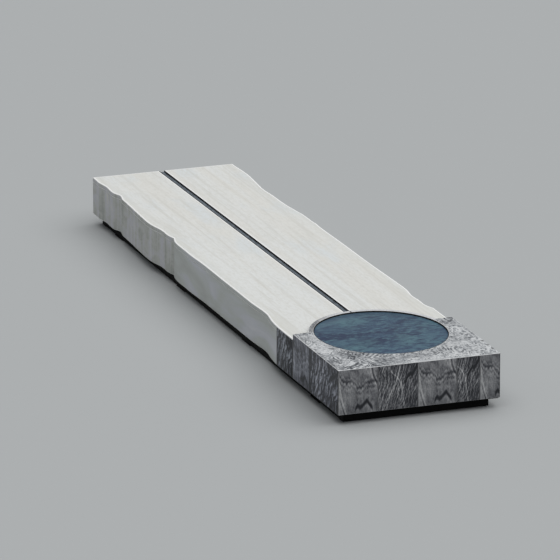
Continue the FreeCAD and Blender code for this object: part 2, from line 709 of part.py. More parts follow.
def slate_strip():
    """The slate strip on the trough's floor, against its right wall."""
    right_wall = size("channel_width") / 2 - size("trough_play") - size("trough_wall")
    strip = channel_bar("slate", right_wall - size("slate_width"), "Sizes.slate_width",
                        f"{SEAT_TOP} - Sizes.channel_depth - Sizes.slate_thickness",
                        "Sizes.slate_thickness")
    keep(strip, "channel_slate_strip")


def trough_packers():
    """Small pads that hold the trough up from the centre strip."""
    under = f"{SEAT_TOP} - Sizes.channel_depth - Sizes.slate_thickness - Sizes.trough_wall"
    packers = []
    for number, x in enumerate(PACKER_X, start=1):
        corner = (f"{x} - Sizes.packer_half", f"{channel_line(x)} - Sizes.packer_half",
                  SEAT_UNDER)
        packers.append(bar(f"trough_packer_{number}", corner,
                           ("2 * Sizes.packer_half", "2 * Sizes.packer_half",
                            f"{under} - {SEAT_UNDER}")))
    group("trough_packers", packers)


# ---------------------------------------------------------------- pool


def pool_plate():
    """Oval steel plate on the frame, under the pool and its kerb."""
    keep(oval("pool_plate", "Sizes.kerb_width - 2 * Sizes.kerb_play",
              "Sizes.pool_plate_thickness", FRAME_TOP), "pool_base_plate")


def pool_core():
    """Light cast core that fills the pool up to the blue disc."""
    keep(oval("pool_core", "(-Sizes.seal_width - Sizes.kerb_play)",
              f"{DISC_UNDER} - {PLATE_TOP}", PLATE_TOP), "pool_core")


def pool_disc():
    """The blue disc."""
    keep(oval("pool_disc", "(-Sizes.seal_width)", "Sizes.disc_thickness", DISC_UNDER),
         "pool_disc")


def pool_seal():
    """The black seal that fills the gap round the disc and lines the wall above it."""
    level = f"({DISC_TOP} - Sizes.seal_depth)"
    height = f"Sizes.block_height - Sizes.seal_drop - {level}"
    outer = oval("pool_seal_outer", "(-Sizes.seal_play)", height, level)
    inner = oval("pool_seal_inner", "(Sizes.seal_play - Sizes.seal_width)", height, level)
    keep(cut("pool_seal_ring", outer, inner), "pool_seal")


def pool_kerb():
    """Marble kerb round the part of the pool that lies in the white seat."""
    body, sketch = new_body("pool_kerb_body")
    outer = size("kerb_width")
    inner_angle = pool_angle(0, size("block_back_x"))
    outer_angle = pool_angle(outer, size("block_back_x"))
    draw(sketch, [
        pool_arc(outer, outer_angle, 2 * math.pi - outer_angle),
        line(on_pool(outer, -outer_angle), on_pool(0, -inner_angle)),
        pool_arc(0, inner_angle, 2 * math.pi - inner_angle),
        line(on_pool(0, inner_angle), on_pool(outer, outer_angle)),
    ])
    pad(body, sketch, f"Sizes.block_height - {PLATE_TOP}")
    place(body, (0, 0, PLATE_TOP))
    keep(body, "pool_kerb")


# ---------------------------------------------------------------- marble block


def block_top():
    """Top slab with mitred edges on three sides and the hole for the pool."""
    lay_flat = FreeCAD.Rotation(FreeCAD.Vector(1, 0, 0), 90)
    under = ("Sizes.block_back_x", f"{HALF_LENGTH} - Sizes.cladding_thickness",
             f"-{CLADDING_BACK_Y}", CLADDING_BACK_Y)
    upper = ("Sizes.block_back_x", HALF_LENGTH, f"-{FACE_Y}", FACE_Y)
    blank = wedge("block_top_blank", SEAT_TOP, under, "Sizes.block_height", upper, lay_flat)
    hole = oval("block_top_hole", 0, "Sizes.block_height", 0)
    keep(cut("block_top", blank, hole), "block_top_slab")


def block_sides():
    """Marble on both sides: mitred beside the block, plain under the seat's edge."""
    outer = ("Sizes.block_back_x", HALF_LENGTH, PLINTH_TOP, "Sizes.block_height")
    inner = ("Sizes.block_back_x", f"{HALF_LENGTH} - Sizes.cladding_thickness",
             PLINTH_TOP, SEAT_TOP)
    rear_extent = ("Sizes.block_back_x - Sizes.cladding_start_x", "Sizes.cladding_thickness",
                   f"{SEAT_TOP} - Sizes.nosing - {PLINTH_TOP}")
    keep(wedge("left_front", f"-{FACE_Y}", outer, f"-{CLADDING_BACK_Y}", inner),
         "block_side_left_front")
    keep(wedge("right_front", CLADDING_BACK_Y, inner, FACE_Y, outer),
         "block_side_right_front")
    keep(bar("left_rear", ("Sizes.cladding_start_x", f"-{FACE_Y}", PLINTH_TOP), rear_extent),
         "block_side_left_rear")
    keep(bar("right_rear", ("Sizes.cladding_start_x", CLADDING_BACK_Y, PLINTH_TOP),
             rear_extent), "block_side_right_rear")


def block_front():
    """Five upright marble slabs across the pool end, mitred at the top and both corners."""
    turn = FreeCAD.Rotation(FreeCAD.Vector(0, 0, 1), 90)
    outer_edges = [f"-{FACE_Y}"] + FRONT_JOINT_Y + [FACE_Y]
    inner_edges = [f"-{CLADDING_BACK_Y}"] + FRONT_JOINT_Y + [CLADDING_BACK_Y]
    for number in range(len(outer_edges) - 1):
        outer = (outer_edges[number], outer_edges[number + 1], PLINTH_TOP, "Sizes.block_height")
        inner = (inner_edges[number], inner_edges[number + 1], PLINTH_TOP, SEAT_TOP)
        slab = wedge(f"front_{number + 1}", 0, outer, "Sizes.cladding_thickness", inner, turn,
                     (HALF_LENGTH, 0, 0))
        keep(slab, f"block_front_slab_{number + 1}")


def cladding_spacers():
    """Blocks that hold the marble off the frame, glued to both."""
    level = f"{FRAME_TOP} - Sizes.tube_size"
    front_x = "(Sizes.front_beam_x + Sizes.tube_size / 2)"
    edges = [f"-{CLADDING_BACK_Y}"] + FRONT_JOINT_Y + [CLADDING_BACK_Y]
    spacers = []
    for number in range(len(edges) - 1):
        middle = f"(({edges[number]}) + ({edges[number + 1]})) / 2"
        spacers.append(bar(
            f"front_spacer_{number + 1}", (front_x, f"{middle} - Sizes.tube_size / 2", level),
            (f"{HALF_LENGTH} - Sizes.cladding_thickness - {front_x}",
             "Sizes.tube_size", "Sizes.tube_size")))
    for number, x in enumerate(BLOCK_STATIONS, start=1):
        for side, low_y in (("left", f"-{CLADDING_BACK_Y}"), ("right", "Sizes.beam_reach")):
            spacers.append(bar(
                f"side_spacer_{side}_{number}", (f"{x} - Sizes.tube_size / 2", low_y, level),
                ("Sizes.tube_size", f"{CLADDING_BACK_Y} - Sizes.beam_reach",
                 "Sizes.tube_size")))
    rear_x = "(Sizes.cladding_start_x + Sizes.block_back_x) / 2 - Sizes.tube_size / 2"
    left_face = "(Sizes.post_left_y - Sizes.tube_size / 2)"
    right_face = "(Sizes.post_right_y + Sizes.tube_size / 2)"
    spacers.append(bar("rear_spacer_left", (rear_x, f"-{CLADDING_BACK_Y}", level),
                       ("Sizes.tube_size", f"{left_face} + {CLADDING_BACK_Y}",
                        "Sizes.tube_size")))
    spacers.append(bar("rear_spacer_right", (rear_x, right_face, level),
                       ("Sizes.tube_size", f"{CLADDING_BACK_Y} - {right_face}",
                        "Sizes.tube_size")))
    group("cladding_spacers", spacers)


# ---------------------------------------------------------------- build, check and write

plinth()
base_plates()
shelf_bars()
inner_frame()
slab_risers()
bearing_strips()
seat_slabs()
side_panels()
end_panel()
group("seat_dowels", dowels("left") + dowels("right"))
bracket_bolts()
panel_brackets()
trough()
slate_strip()
trough_packers()
pool_plate()
pool_core()
pool_disc()
pool_seal()
pool_kerb()
block_top()
block_sides()
block_front()
cladding_spacers()
doc.recompute()

for item in doc.Objects:
    if "Invalid" in item.State or "Error" in item.State:
        raise RuntimeError(f"{item.Label} could not be built: {item.State}")
for piece in nodes:
    if piece.Shape.isNull() or not piece.Shape.isValid() or not piece.Shape.Solids:
        raise RuntimeError(f"{piece.Label} has no valid solid")

os.makedirs("parts", exist_ok=True)
for piece in nodes:
    piece.Shape.exportStep(f"parts/{piece.Label}.step")
    box = piece.Shape.BoundBox
    print(f"{piece.Label:26s} solids {len(piece.Shape.Solids):2d}  "
          f"x {box.XMin:8.1f} {box.XMax:8.1f}  y {box.YMin:7.1f} {box.YMax:7.1f}  "
          f"z {box.ZMin:6.1f} {box.ZMax:6.1f}  volume {piece.Shape.Volume / 1e6:9.3f} l")
print(len(nodes), "sub-parts")
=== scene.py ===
import json
import math

import bmesh
import bpy
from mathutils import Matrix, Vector, noise


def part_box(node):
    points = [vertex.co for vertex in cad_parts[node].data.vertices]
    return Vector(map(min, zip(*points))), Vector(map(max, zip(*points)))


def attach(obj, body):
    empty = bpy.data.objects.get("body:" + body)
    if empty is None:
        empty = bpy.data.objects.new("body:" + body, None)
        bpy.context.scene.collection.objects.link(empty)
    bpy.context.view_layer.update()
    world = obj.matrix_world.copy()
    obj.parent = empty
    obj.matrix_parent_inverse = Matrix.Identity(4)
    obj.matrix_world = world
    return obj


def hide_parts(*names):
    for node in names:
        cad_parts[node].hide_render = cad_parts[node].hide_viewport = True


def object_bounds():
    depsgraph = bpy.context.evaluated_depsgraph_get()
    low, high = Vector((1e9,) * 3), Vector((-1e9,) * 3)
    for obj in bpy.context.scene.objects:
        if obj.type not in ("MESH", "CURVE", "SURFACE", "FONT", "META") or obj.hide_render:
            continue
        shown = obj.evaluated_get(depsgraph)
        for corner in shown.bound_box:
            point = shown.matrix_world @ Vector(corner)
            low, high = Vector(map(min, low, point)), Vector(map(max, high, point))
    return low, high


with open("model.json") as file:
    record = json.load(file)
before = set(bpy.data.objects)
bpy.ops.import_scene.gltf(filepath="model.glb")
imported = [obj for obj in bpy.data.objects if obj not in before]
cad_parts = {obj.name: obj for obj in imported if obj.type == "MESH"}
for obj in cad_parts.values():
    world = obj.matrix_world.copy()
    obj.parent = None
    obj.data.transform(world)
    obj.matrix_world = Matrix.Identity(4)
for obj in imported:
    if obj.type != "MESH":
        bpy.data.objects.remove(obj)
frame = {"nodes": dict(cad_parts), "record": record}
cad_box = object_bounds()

# Looks of the backless stone bench, in metres, in the frame of the CAD model: +X towards the
# pool, +Y to the right, +Z up.  The visible stones are rebuilt from their CAD nodes with eased
# arrises and split faces, and the plinth's rails as rolled tube.  All the other pieces keep
# their CAD meshes and only get their materials here.

# ------------------------------------------------------------------ sizes

CLADDING_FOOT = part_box("side_panel_left_far")[0].z
BLOCK_LOW, BLOCK_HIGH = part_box("block_top_slab")
BENCH_LEFT, BENCH_RIGHT = cad_box[0].y, cad_box[1].y
PANEL_JOINT_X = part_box("side_panel_left_far")[1].x
MARBLE_START_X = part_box("block_side_left_rear")[0].x

OUTLINE_STEP = 0.015         # spacing of points along a stone's outline
REBATE_STEP = 0.0004         # half the length of the step where the seat laps the marble
FACE_STEP = 0.014            # spacing of rows up a split face
CORNER_TURN = math.radians(25)
SHARP_TURN = math.radians(35)
FLAT_TURN = math.radians(0.2)    # an edge that turns less than this is no edge
LEVEL_NORMAL = 0.99          # a face whose normal rises more than this is level
MITRE_LIMIT = 0.5            # keeps a very sharp corner from being drawn in too far
MERGE_DISTANCE = 1e-5

SEAT_ARRIS = 0.005
HIGHLIGHT_STRIP = 0.007            # painted highlight: a pale strip on top of the seat, inside the arris
MARBLE_ARRIS = 0.004
DISC_ARRIS = 0.002
ARRIS_STEPS = 3
MITRED_ARRIS_STEPS = 2

SPLIT_DEPTH = 0.0045         # about the deepest groove of the split faces, away from the pool
SOFT_DEPTH = 0.0020          # deepest hollow of the smoother faces near the pool
SPLIT_FADE = 0.12            # length over which the one turns into the other
LEFT_BAND, RIGHT_BAND = 0.08, 0.12   # how far in from its widest point a long face may lie

SIDE_MARBLE_LOW, SIDE_MARBLE_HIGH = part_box("block_side_left_rear")
REBATE_DEPTH = SIDE_MARBLE_HIGH.y - SIDE_MARBLE_LOW.y
REBATE_TOP = SIDE_MARBLE_HIGH.z

VEIN_PITCH = 0.026           # mean spacing of the upright marble's vein lines
DRAWN_WIDTH = 0.30           # a wider tile has its lines stretched from this width
SIDE_TILE_X = 2.363          # where the side marble changes from clouds to veins
SIDE_FINENESS = 0.34         # the side marble's grain is coarser than the front's
JOINT_SHADE_REACH = 0.008          # how far from a joint the marble is darkened, partly as painted shade
JOINT_SHADE_DEPTH = 0.22

# Lines in the upright marble, as (distance from the tile's start, height above its foot) or,
# for the lines that stand upright, (height, distance).
CLOUDED_WAVE = [(0.0, 0.345), (0.050, 0.252), (0.104, 0.250), (0.160, 0.195), (0.232, 0.230),
                (0.286, 0.236), (0.320, 0.200), (0.400, 0.260)]
CLOUDED_PEAK = [(0.120, 0.020), (0.146, 0.064), (0.164, 0.046), (0.186, 0.064), (0.218, 0.098),
                (0.240, 0.062), (0.266, 0.026)]
CLOUDED_PEAK_SPAN = (0.128, 0.258)    # the part of the peak's line that is drawn
CLOUDED_UPRIGHT = [(0.0, 0.310), (0.190, 0.307), (0.300, 0.266), (0.364, 0.255)]
CLOUDED_RIB = [(0.0, 0.062), (0.128, 0.028), (0.222, 0.013), (0.364, 0.001)]
VEINED_CORNER = [(0.0, 0.350), (0.012, 0.334), (0.041, 0.279), (0.070, 0.273), (0.093, 0.230),
                 (0.120, 0.180)]
VEINED_CORNER_FADE = (0.095, 0.115)   # where the corner's line fades out
VEINED_LEANING = [(0.0, 0.260), (0.103, 0.222), (0.186, 0.180), (0.364, 0.128)]
VEINED_FALLING = [(0.0, 0.099), (0.118, 0.116), (0.198, 0.126), (0.252, 0.152), (0.308, 0.199),
                  (0.364, 0.225)]

# Features of the marble top, as (x, y).  A line is (start, end, half its width).
RING_CENTRE = (2.70, -0.53)
RING_PITCH = 0.030
CHEVRON_X = 2.765            # where the chevrons have their points
CHEVRON_PITCH = 0.046
CONTOUR_PITCH = 1 / 26.0     # in units of the noise that the contours follow
DARK_LINES = [((2.430, -0.60), (2.437, -0.48), 0.016), ((2.476, 0.45), (2.440, 0.58), 0.012)]
LIGHT_LINE = ((2.72, -0.378), (2.99, -0.300), 0.014)
DARK_SPOTS = [(2.653, 0.662), (2.764, 0.672), (2.863, 0.668)]
KERB_JOINT = ((1.530, -0.0345), (1.600, -0.0340), 0.011)   # beside the channel's end

# Features of the pool, as (x, y), with the reach of each teal cloud.
POOL_CENTRE = (2.159, 0.0)
TEAL_SPOTS = [(2.45, -0.30, 0.34), (1.75, -0.16, 0.26), (2.45, 0.24, 0.34), (2.05, 0.42, 0.26)]

TUBE_RADIUS = 0.010
TUBE_WALL = 0.005
TUBE_ARC_STEPS = 6

# ------------------------------------------------------------------ mesh helpers


def add_object(name, mesh_data, material, slot, *nodes):
    """A finished piece of the bench: rides on the one body and stands for its CAD nodes."""
    mesh_data.set_sharp_from_angle(angle=SHARP_TURN)
    piece = bpy.data.objects.new(name, mesh_data)
    bpy.context.scene.collection.objects.link(piece)
    piece.data.materials.append(material)
    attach(piece, "root")
    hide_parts(*nodes)
    return piece


def write_mesh(name, work, arris_faces):
    """A mesh with smooth shading from a bmesh, with its arris faces marked for the material."""
    bmesh.ops.recalc_face_normals(work, faces=work.faces)
    marked = {face.index for face in arris_faces}
    mesh_data = bpy.data.meshes.new(name)
    work.to_mesh(mesh_data)
    work.free()
    mark = mesh_data.attributes.new("arris", "FLOAT", "FACE")
    mark.data.foreach_set("value", [float(face.index in marked) for face in mesh_data.polygons])
    mesh_data.shade_smooth()
    return mesh_data


def signed_area(outline):
    """Twice the outline's area, positive if it runs counterclockwise."""
    following = outline[1:] + outline[:1]
    return sum(a.x * b.y - b.x * a.y for a, b in zip(outline, following))


def top_outline(node):
    """The outer outline of a CAD node's top face, counterclockwise, as flat points."""
    work = bmesh.new()
    work.from_mesh(frame["nodes"][node].data)
    bmesh.ops.remove_doubles(work, verts=work.verts, dist=MERGE_DISTANCE)
    work.normal_update()
    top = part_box(node)[1].z
    upper = {face for face in work.faces
             if face.normal.z > LEVEL_NORMAL and abs(face.calc_center_median().z - top) < MERGE_DISTANCE}
    rim = {edge for edge in work.edges if sum(face in upper for face in edge.link_faces) == 1}
    loops = []
    while rim:
        edge = rim.pop()
        start, here = edge.verts
        loop = [start.co.to_2d()]
        while here is not start:
            loop.append(here.co.to_2d())
            edge = next(other for other in here.link_edges if other in rim)
            rim.discard(edge)
            here = edge.other_vert(here)
        loops.append(loop)
    work.free()
    outline = max(loops, key=lambda loop: abs(signed_area(loop)))
    return outline if signed_area(outline) > 0 else outline[::-1]


def turn_at(before, here, after):
    """How far the outline turns at a point."""
    return abs((here - before).angle_signed(after - here, 0.0))


def with_rebate_ends(outline):
    """The outline with a point on each side of the line where the marble cladding starts."""
    split = []
    for here, following in zip(outline, outline[1:] + outline[:1]):
        split.append(here)
        crossings = []
        for line_x in (MARBLE_START_X - REBATE_STEP, MARBLE_START_X + REBATE_STEP):
            if (here.x - line_x) * (following.x - line_x) < 0:
                crossings.append((line_x - here.x) / (following.x - here.x))
        split.extend(here.lerp(following, share) for share in sorted(crossings))
    return split


def even_outline(outline, step):
    """The same outline with its corners kept and everything between them divided evenly."""
    outline = with_rebate_ends(outline)
    count = len(outline)
    corners = [index for index in range(count)
               if abs(abs(outline[index].x - MARBLE_START_X) - REBATE_STEP) < MERGE_DISTANCE
               or turn_at(outline[index - 1], outline[index], outline[(index + 1) % count])
               > CORNER_TURN] or [0]
    evened = []
    for first, last in zip(corners, corners[1:] + [corners[0] + count]):
        run = [outline[index % count] for index in range(first, last + 1)]
        reach = [0.0]
        for a, b in zip(run, run[1:]):
            reach.append(reach[-1] + (b - a).length)
        pieces = max(1, round(reach[-1] / step))
        place = 0
        for part in range(pieces):
            target = reach[-1] * part / pieces
            while reach[place + 1] < target:
                place += 1
            share = (target - reach[place]) / (reach[place + 1] - reach[place])
            evened.append(run[place].lerp(run[place + 1], share))
    return evened


def inward(outline):
    """For each point, the step that draws the outline in by one unit, mitred at corners."""
    count = len(outline)
    steps = []
    for index, here in enumerate(outline):
        before = (here - outline[index - 1]).normalized()
        after = (outline[(index + 1) % count] - here).normalized()
        normals = [Vector((-side.y, side.x)) for side in (before, after)]
        middle = (normals[0] + normals[1]).normalized()
        steps.append(middle / max(MITRE_LIMIT, middle.dot(normals[0])))
    return steps


def eased_levels(low, high, arris, inner_heights=(), highlight_strip=0.0):
    """Levels of a stone from foot to top, as (height, draw-in, whether a marked face follows)."""
    levels = []
    for part in range(ARRIS_STEPS):
        angle = math.pi / 2 * part / ARRIS_STEPS
        levels.append((low + arris * (1 - math.cos(angle)), arris * (1 - math.sin(angle)), True))
    levels.append((low + arris, 0.0, False))
    levels.extend((height, 0.0, False) for height in inner_heights)
    for part in range(ARRIS_STEPS):
        angle = math.pi / 2 * part / ARRIS_STEPS
        levels.append((high - arris + arris * math.sin(angle),
                       arris * (1 - math.cos(angle)), True))
    # the strip inside the top arris is marked as well, so that it takes the painted highlight
    levels.append((high, arris, highlight_strip > 0))
    if highlight_strip:
        levels.append((high, arris + highlight_strip, False))
    return levels


def even_heights(low, high, step):
    """Heights that divide a face evenly, its two ends left out."""
    rows = max(1, round((high - low) / step))
    return [low + (high - low) * row / rows for row in range(1, rows)]


def stone_mesh(name, outline, levels, relief=None):
    """A closed stone: its outline repeated at each level and drawn in by easing and relief."""
    steps = inward(outline)
    work = bmesh.new()
    rings = []
    for height, draw_in, _ in levels:
        ring = []
        for point, step in zip(outline, steps):
            depth = draw_in + (relief(point, height) if relief else 0.0)
            spot = point + step * depth
            ring.append(work.verts.new((spot.x, spot.y, height)))
        rings.append(ring)
    arris_faces = []
    count = len(outline)
    for (lower, upper), (_, _, eased) in zip(zip(rings, rings[1:]), levels):
        for index in range(count):
            following = (index + 1) % count
            face = work.faces.new((lower[index], lower[following],
                                   upper[following], upper[index]))
            if eased:
                arris_faces.append(face)
    work.faces.new(rings[0][::-1])
    work.faces.new(rings[-1])
    work.faces.index_update()
    return write_mesh(name, work, arris_faces)


def stone(name, node, material, slot, arris, inner_heights=(), relief=None, highlight_strip=0.0):
    """A stone of upright sides, rebuilt from its CAD node's outline with eased arrises."""
    low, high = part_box(node)
    outline = even_outline(top_outline(node), OUTLINE_STEP)
    levels = eased_levels(low.z, high.z, arris, inner_heights, highlight_strip)
    return add_object(name, stone_mesh(name, outline, levels, relief), material, slot, node)


def eased_copy(name, node, material, slot, arris):
    """A mitred stone: its CAD shape with every sharp edge eased."""
    work = bmesh.new()
    work.from_mesh(frame["nodes"][node].data)
    bmesh.ops.remove_doubles(work, verts=work.verts, dist=MERGE_DISTANCE)
    bmesh.ops.dissolve_limit(work, angle_limit=FLAT_TURN, verts=work.verts, edges=work.edges)
    sharp = [edge for edge in work.edges if edge.calc_face_angle(0.0) > SHARP_TURN]
    eased = bmesh.ops.bevel(work, geom=sharp, offset=arris, segments=MITRED_ARRIS_STEPS,
                            profile=0.5, affect="EDGES", clamp_overlap=True)
    work.faces.index_update()
    mesh_data = write_mesh(name, work, eased["faces"])
    return add_object(name, mesh_data, material, slot, node)


def rounded_square(half_across, half_up, radius):
    """The outline of a square tube, as flat points about its middle."""
    points = []
    for quarter in range(4):
        sign_across = 1 if quarter in (0, 3) else -1
        sign_up = 1 if quarter in (0, 1) else -1
        for part in range(TUBE_ARC_STEPS + 1):
            angle = math.pi / 2 * (quarter + part / TUBE_ARC_STEPS)
            points.append((sign_across * (half_across - radius) + radius * math.cos(angle),
                           sign_up * (half_up - radius) + radius * math.sin(angle)))
    return points


def square_tube(name, node, axis, material):
    """A rail of the plinth as a hollow section with the rounded corners of rolled tube."""
    low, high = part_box(node)
    middle = (low + high) / 2
    half = (high - low) / 2
    across = 1 - axis
    work = bmesh.new()
    loops = []
    for end in (low[axis], high[axis]):
        for draw_in in (0.0, TUBE_WALL):
            ring = []
            for side, up in rounded_square(half[across] - draw_in, half.z - draw_in,
                                           TUBE_RADIUS - draw_in):
                spot = middle.copy()
                spot[axis] = end
                spot[across] += side
                spot.z += up
                ring.append(work.verts.new(spot))
            loops.append(ring)
    outer_start, inner_start, outer_end, inner_end = loops
    for first, second in ((outer_start, outer_end), (outer_end, inner_end),
                          (inner_end, inner_start), (inner_start, outer_start)):
        for index in range(len(first)):
            following = (index + 1) % len(first)
            work.faces.new((first[index], first[following], second[following], second[index]))
    work.faces.index_update()
    return add_object(name, write_mesh(name, work, []), material, "black_steel", node)


# ------------------------------------------------------------------ split faces


def seat_relief(point, height):
    """The split long faces, and the rebate under the seat's edge where marble clads it."""
    beside_marble = point.x > MARBLE_START_X and abs(point.y) > abs(SIDE_MARBLE_HIGH.y)
    if beside_marble and height < REBATE_TOP - MERGE_DISTANCE:
        return REBATE_DEPTH
    return split_relief(point, height)


def face_noise(point, height, along, up, shift=0):
    """Noise on a long face, from its scale along the bench and its scale up the face."""
    return noise.noise(Vector((point.x * along, point.y + shift, height * up)))


def split_relief(point, height):
    """How far the natural long faces lie behind their outline, as split by wedges."""
    on_long_side = point.y < BENCH_LEFT + LEFT_BAND or point.y > BENCH_RIGHT - RIGHT_BAND
    if not on_long_side or point.x > MARBLE_START_X:
        return 0.0
    streak = face_noise(point, height, 26, 1.6)
    streak += 0.5 * face_noise(point, height, 61, 3.1, shift=7)
    soft = face_noise(point, height, 3.1, 7.0, shift=3)
    chip = face_noise(point, height, 33, 29, shift=11)
    towards_pool = min(1.0, max(0.0, (point.x - PANEL_JOINT_X) / SPLIT_FADE))
    split = SPLIT_DEPTH * (0.45 + 0.40 * streak + 0.12 * chip)
    smooth = SOFT_DEPTH * (0.45 + 0.45 * soft + 0.10 * chip)
    return max(0.0, split * (1 - towards_pool) + smooth * towards_pool)


# ------------------------------------------------------------------ material helpers


class Recipe:
    """The nodes of one material, with a short call for each kind of step."""

    def __init__(self, name):
        self.material = bpy.data.materials.new(name)
        self.material.use_nodes = True
        self.tree = self.material.node_tree
        self.tree.nodes.clear()
        self.here = self.add("ShaderNodeTexCoord").outputs["Object"]
        self.x, self.y, self.z = self.add("ShaderNodeSeparateXYZ", {0: self.here}).outputs

    def add(self, kind, inputs=None, **settings):
        """A node with its settings, and its inputs fed by values or by other nodes."""
        node = self.tree.nodes.new(kind)
        for key, value in settings.items():
            setattr(node, key, value)
        for key, value in (inputs or {}).items():
            if isinstance(value, bpy.types.NodeSocket):
                self.tree.links.new(value, node.inputs[key])
            else:
                node.inputs[key].default_value = value
        return node

    def stretch(self, scale, shift=(0, 0, 0), turn=(0, 0, 0), source=None):
        """The object's coordinates moved, turned and scaled for a pattern."""
        return self.add("ShaderNodeMapping", {
            "Vector": source or self.here, "Scale": scale, "Location": shift,
            "Rotation": tuple(math.radians(angle) for angle in turn)}).outputs[0]

    def noise(self, where, scale=1.0, detail=4.0, rough=0.55, warp=0.0):
        """Cloudy noise between about 0.2 and 0.8."""
        return self.add("ShaderNodeTexNoise", {
            "Vector": where, "Scale": scale, "Detail": detail, "Roughness": rough,
            "Distortion": warp}).outputs["Fac"]

    def math(self, operation, first, second=0.0, third=0.0):
        """One sum on values."""
        return self.add("ShaderNodeMath", {0: first, 1: second, 2: third},
                        operation=operation).outputs[0]

    def span(self, value, low, high, to_low=0.0, to_high=1.0):
        """A value eased from one range into another."""
        return self.add("ShaderNodeMapRange", {
            0: value, 1: low, 2: high, 3: to_low, 4: to_high},
            interpolation_type="SMOOTHSTEP").outputs[0]

    def mix(self, share, first, second, blend="MIX"):
        """Two colours blended."""
        return self.add("ShaderNodeMix", {0: share, 6: first, 7: second},
                        data_type="RGBA", blend_type=blend).outputs[2]

    def ramp(self, value, stops):
        """Colours along a value."""
        node = self.add("ShaderNodeValToRGB", {0: value})
        while len(node.color_ramp.elements) < len(stops):
            node.color_ramp.elements.new(0.5)
        for element, (place, colour) in zip(node.color_ramp.elements, stops):
            element.position = place
            element.color = colour
        return node.outputs[0]

    def curve(self, value, points, pointed=False):
        """A value read off a curve through (value, result) points, both from 0 to 1."""
        node = self.add("ShaderNodeFloatCurve", {"Value": value})
        line = node.mapping.curves[0]
        while len(line.points) < len(points):
            line.points.new(0.5, 0.5)
        for point, place in zip(line.points, points):
            point.location = place
            point.handle_type = "VECTOR" if pointed else "AUTO"
        node.mapping.update()
        return node.outputs[0]

    def near_zero(self, value, reach, core=0.0):
        """1 while a value is no further from 0 than the core, falling to 0 at its reach."""
        return self.span(self.math("ABSOLUTE", value), core, reach, 1.0, 0.0)

    def stroke(self, across, along, points, half_width, pointed=False):
        """1 on a line drawn through (along, across) points, falling to 0 at its edges."""
        offset = self.math("SUBTRACT", across, self.curve(along, points, pointed))
        return self.near_zero(offset, half_width)

    def between(self, value, low, high, edge):
        """1 between two values, with soft edges."""
        rise = self.span(value, low - edge, low + edge)
        return self.math("MULTIPLY", rise, self.span(value, high - edge, high + edge, 1.0, 0.0))

    def bump(self, height, depth, previous=None):
        """Surface detail from a height, in metres."""
        inputs = {"Height": height, "Distance": depth, "Strength": 1.0}
        if previous is not None:
            inputs["Normal"] = previous
        return self.add("ShaderNodeBump", inputs).outputs[0]

    def blend(self, share, first, second):
        """Two values blended."""
        change = self.math("SUBTRACT", second, first)
        return self.math("MULTIPLY_ADD", change, share, first)

    def away_from(self, spot):
        """Level distance from an (x, y) spot."""
        squares = []
        for place, middle in zip((self.x, self.y), spot):
            offset = self.math("SUBTRACT", place, middle)
            squares.append(self.math("MULTIPLY", offset, offset))
        return self.math("SQRT", self.math("ADD", *squares))

    def line_mark(self, start, end, half_width):
        """1 on a level line between two (x, y) points, falling to 0 beside it."""
        run = Vector(end) - Vector(start)
        heading = run.normalized()
        from_x = self.math("SUBTRACT", self.x, start[0])
        from_y = self.math("SUBTRACT", self.y, start[1])
        along = self.math("MULTIPLY_ADD", from_x, heading.x,
                          self.math("MULTIPLY", from_y, heading.y))
        beside = self.math("MULTIPLY_ADD", from_x, -heading.y,
                           self.math("MULTIPLY", from_y, heading.x))
        mark = self.near_zero(beside, half_width)
        return self.math("MULTIPLY", mark, self.between(along, 0.0, run.length, half_width))

    def weigh(self, base, *parts):
        """A base value plus each (value, weight), with values counted from one half."""
        total = base
        for value, weight in parts:
            offset = self.math("MULTIPLY", self.math("SUBTRACT", value, 0.5), weight)
            total = self.math("ADD", offset, total)
        return total

    def joint_line_and_shade(self, tone, along, width, fineness):
        """A tone darkened close to both ends of a tile, where two slabs meet: a dark joint line widened
        by painted shade.
        """
        from_end = self.math("MINIMUM", along, self.math("SUBTRACT", width, along))
        reach = JOINT_SHADE_REACH / fineness
        depth = JOINT_SHADE_DEPTH / fineness ** 0.5
        return self.math("SUBTRACT", tone, self.span(from_end, 0.5 * reach, reach, depth, 0.0))

    def facing_up(self):
        """1 on level faces, 0 on upright ones."""
        normal = self.add("ShaderNodeNewGeometry").outputs["Normal"]
        up = self.add("ShaderNodeSeparateXYZ", {0: normal}).outputs[2]
        return self.span(up, 0.75, 0.97)

    def arris(self):
        """1 on the faces marked as eased arrises."""
        return self.add("ShaderNodeAttribute", attribute_name="arris").outputs["Fac"]

    def finish(self, colour, roughness, normal=None, metallic=0.0, specular=0.5):
        """Ends the material in one principled surface."""
        inputs = {"Base Color": colour, "Roughness": roughness, "Metallic": metallic,
                  "Specular IOR Level": specular}
        if normal is not None:
            inputs["Normal"] = normal
        surface = self.add("ShaderNodeBsdfPrincipled", inputs)
        self.add("ShaderNodeOutputMaterial", {0: surface.outputs[0]})
        return self.material


def grey(value):
    """A neutral colour."""
    return (value, value, value, 1)


# ------------------------------------------------------------------ materials

# Colours of the white stone: of its top and its arrises (a painted highlight), then along its two kinds
# of side (darker and cooler than the top, partly as painted shade).
CREAM, PALE, COOL = (0.745, 0.742, 0.708, 1), (0.760, 0.772, 0.758, 1), (0.715, 0.745, 0.752, 1)
SAND, TOP_RIM, ARRIS_HIGHLIGHT = (0.620, 0.615, 0.572, 1), (0.680, 0.690, 0.635, 1), (0.970, 0.970, 0.960, 1)
SPLIT_SHADED_TONES = [(0.36, (0.390, 0.405, 0.380, 1)), (0.47, (0.520, 0.530, 0.500, 1)),
               (0.56, (0.560, 0.565, 0.600, 1)), (0.68, (0.630, 0.630, 0.590, 1))]
SMOOTH_SHADED_TONES = [(0.34, (0.490, 0.505, 0.485, 1)), (0.46, (0.545, 0.570, 0.550, 1)),
                (0.56, (0.590, 0.605, 0.640, 1)), (0.70, (0.670, 0.680, 0.705, 1))]
SPLIT_BUMP = 0.004


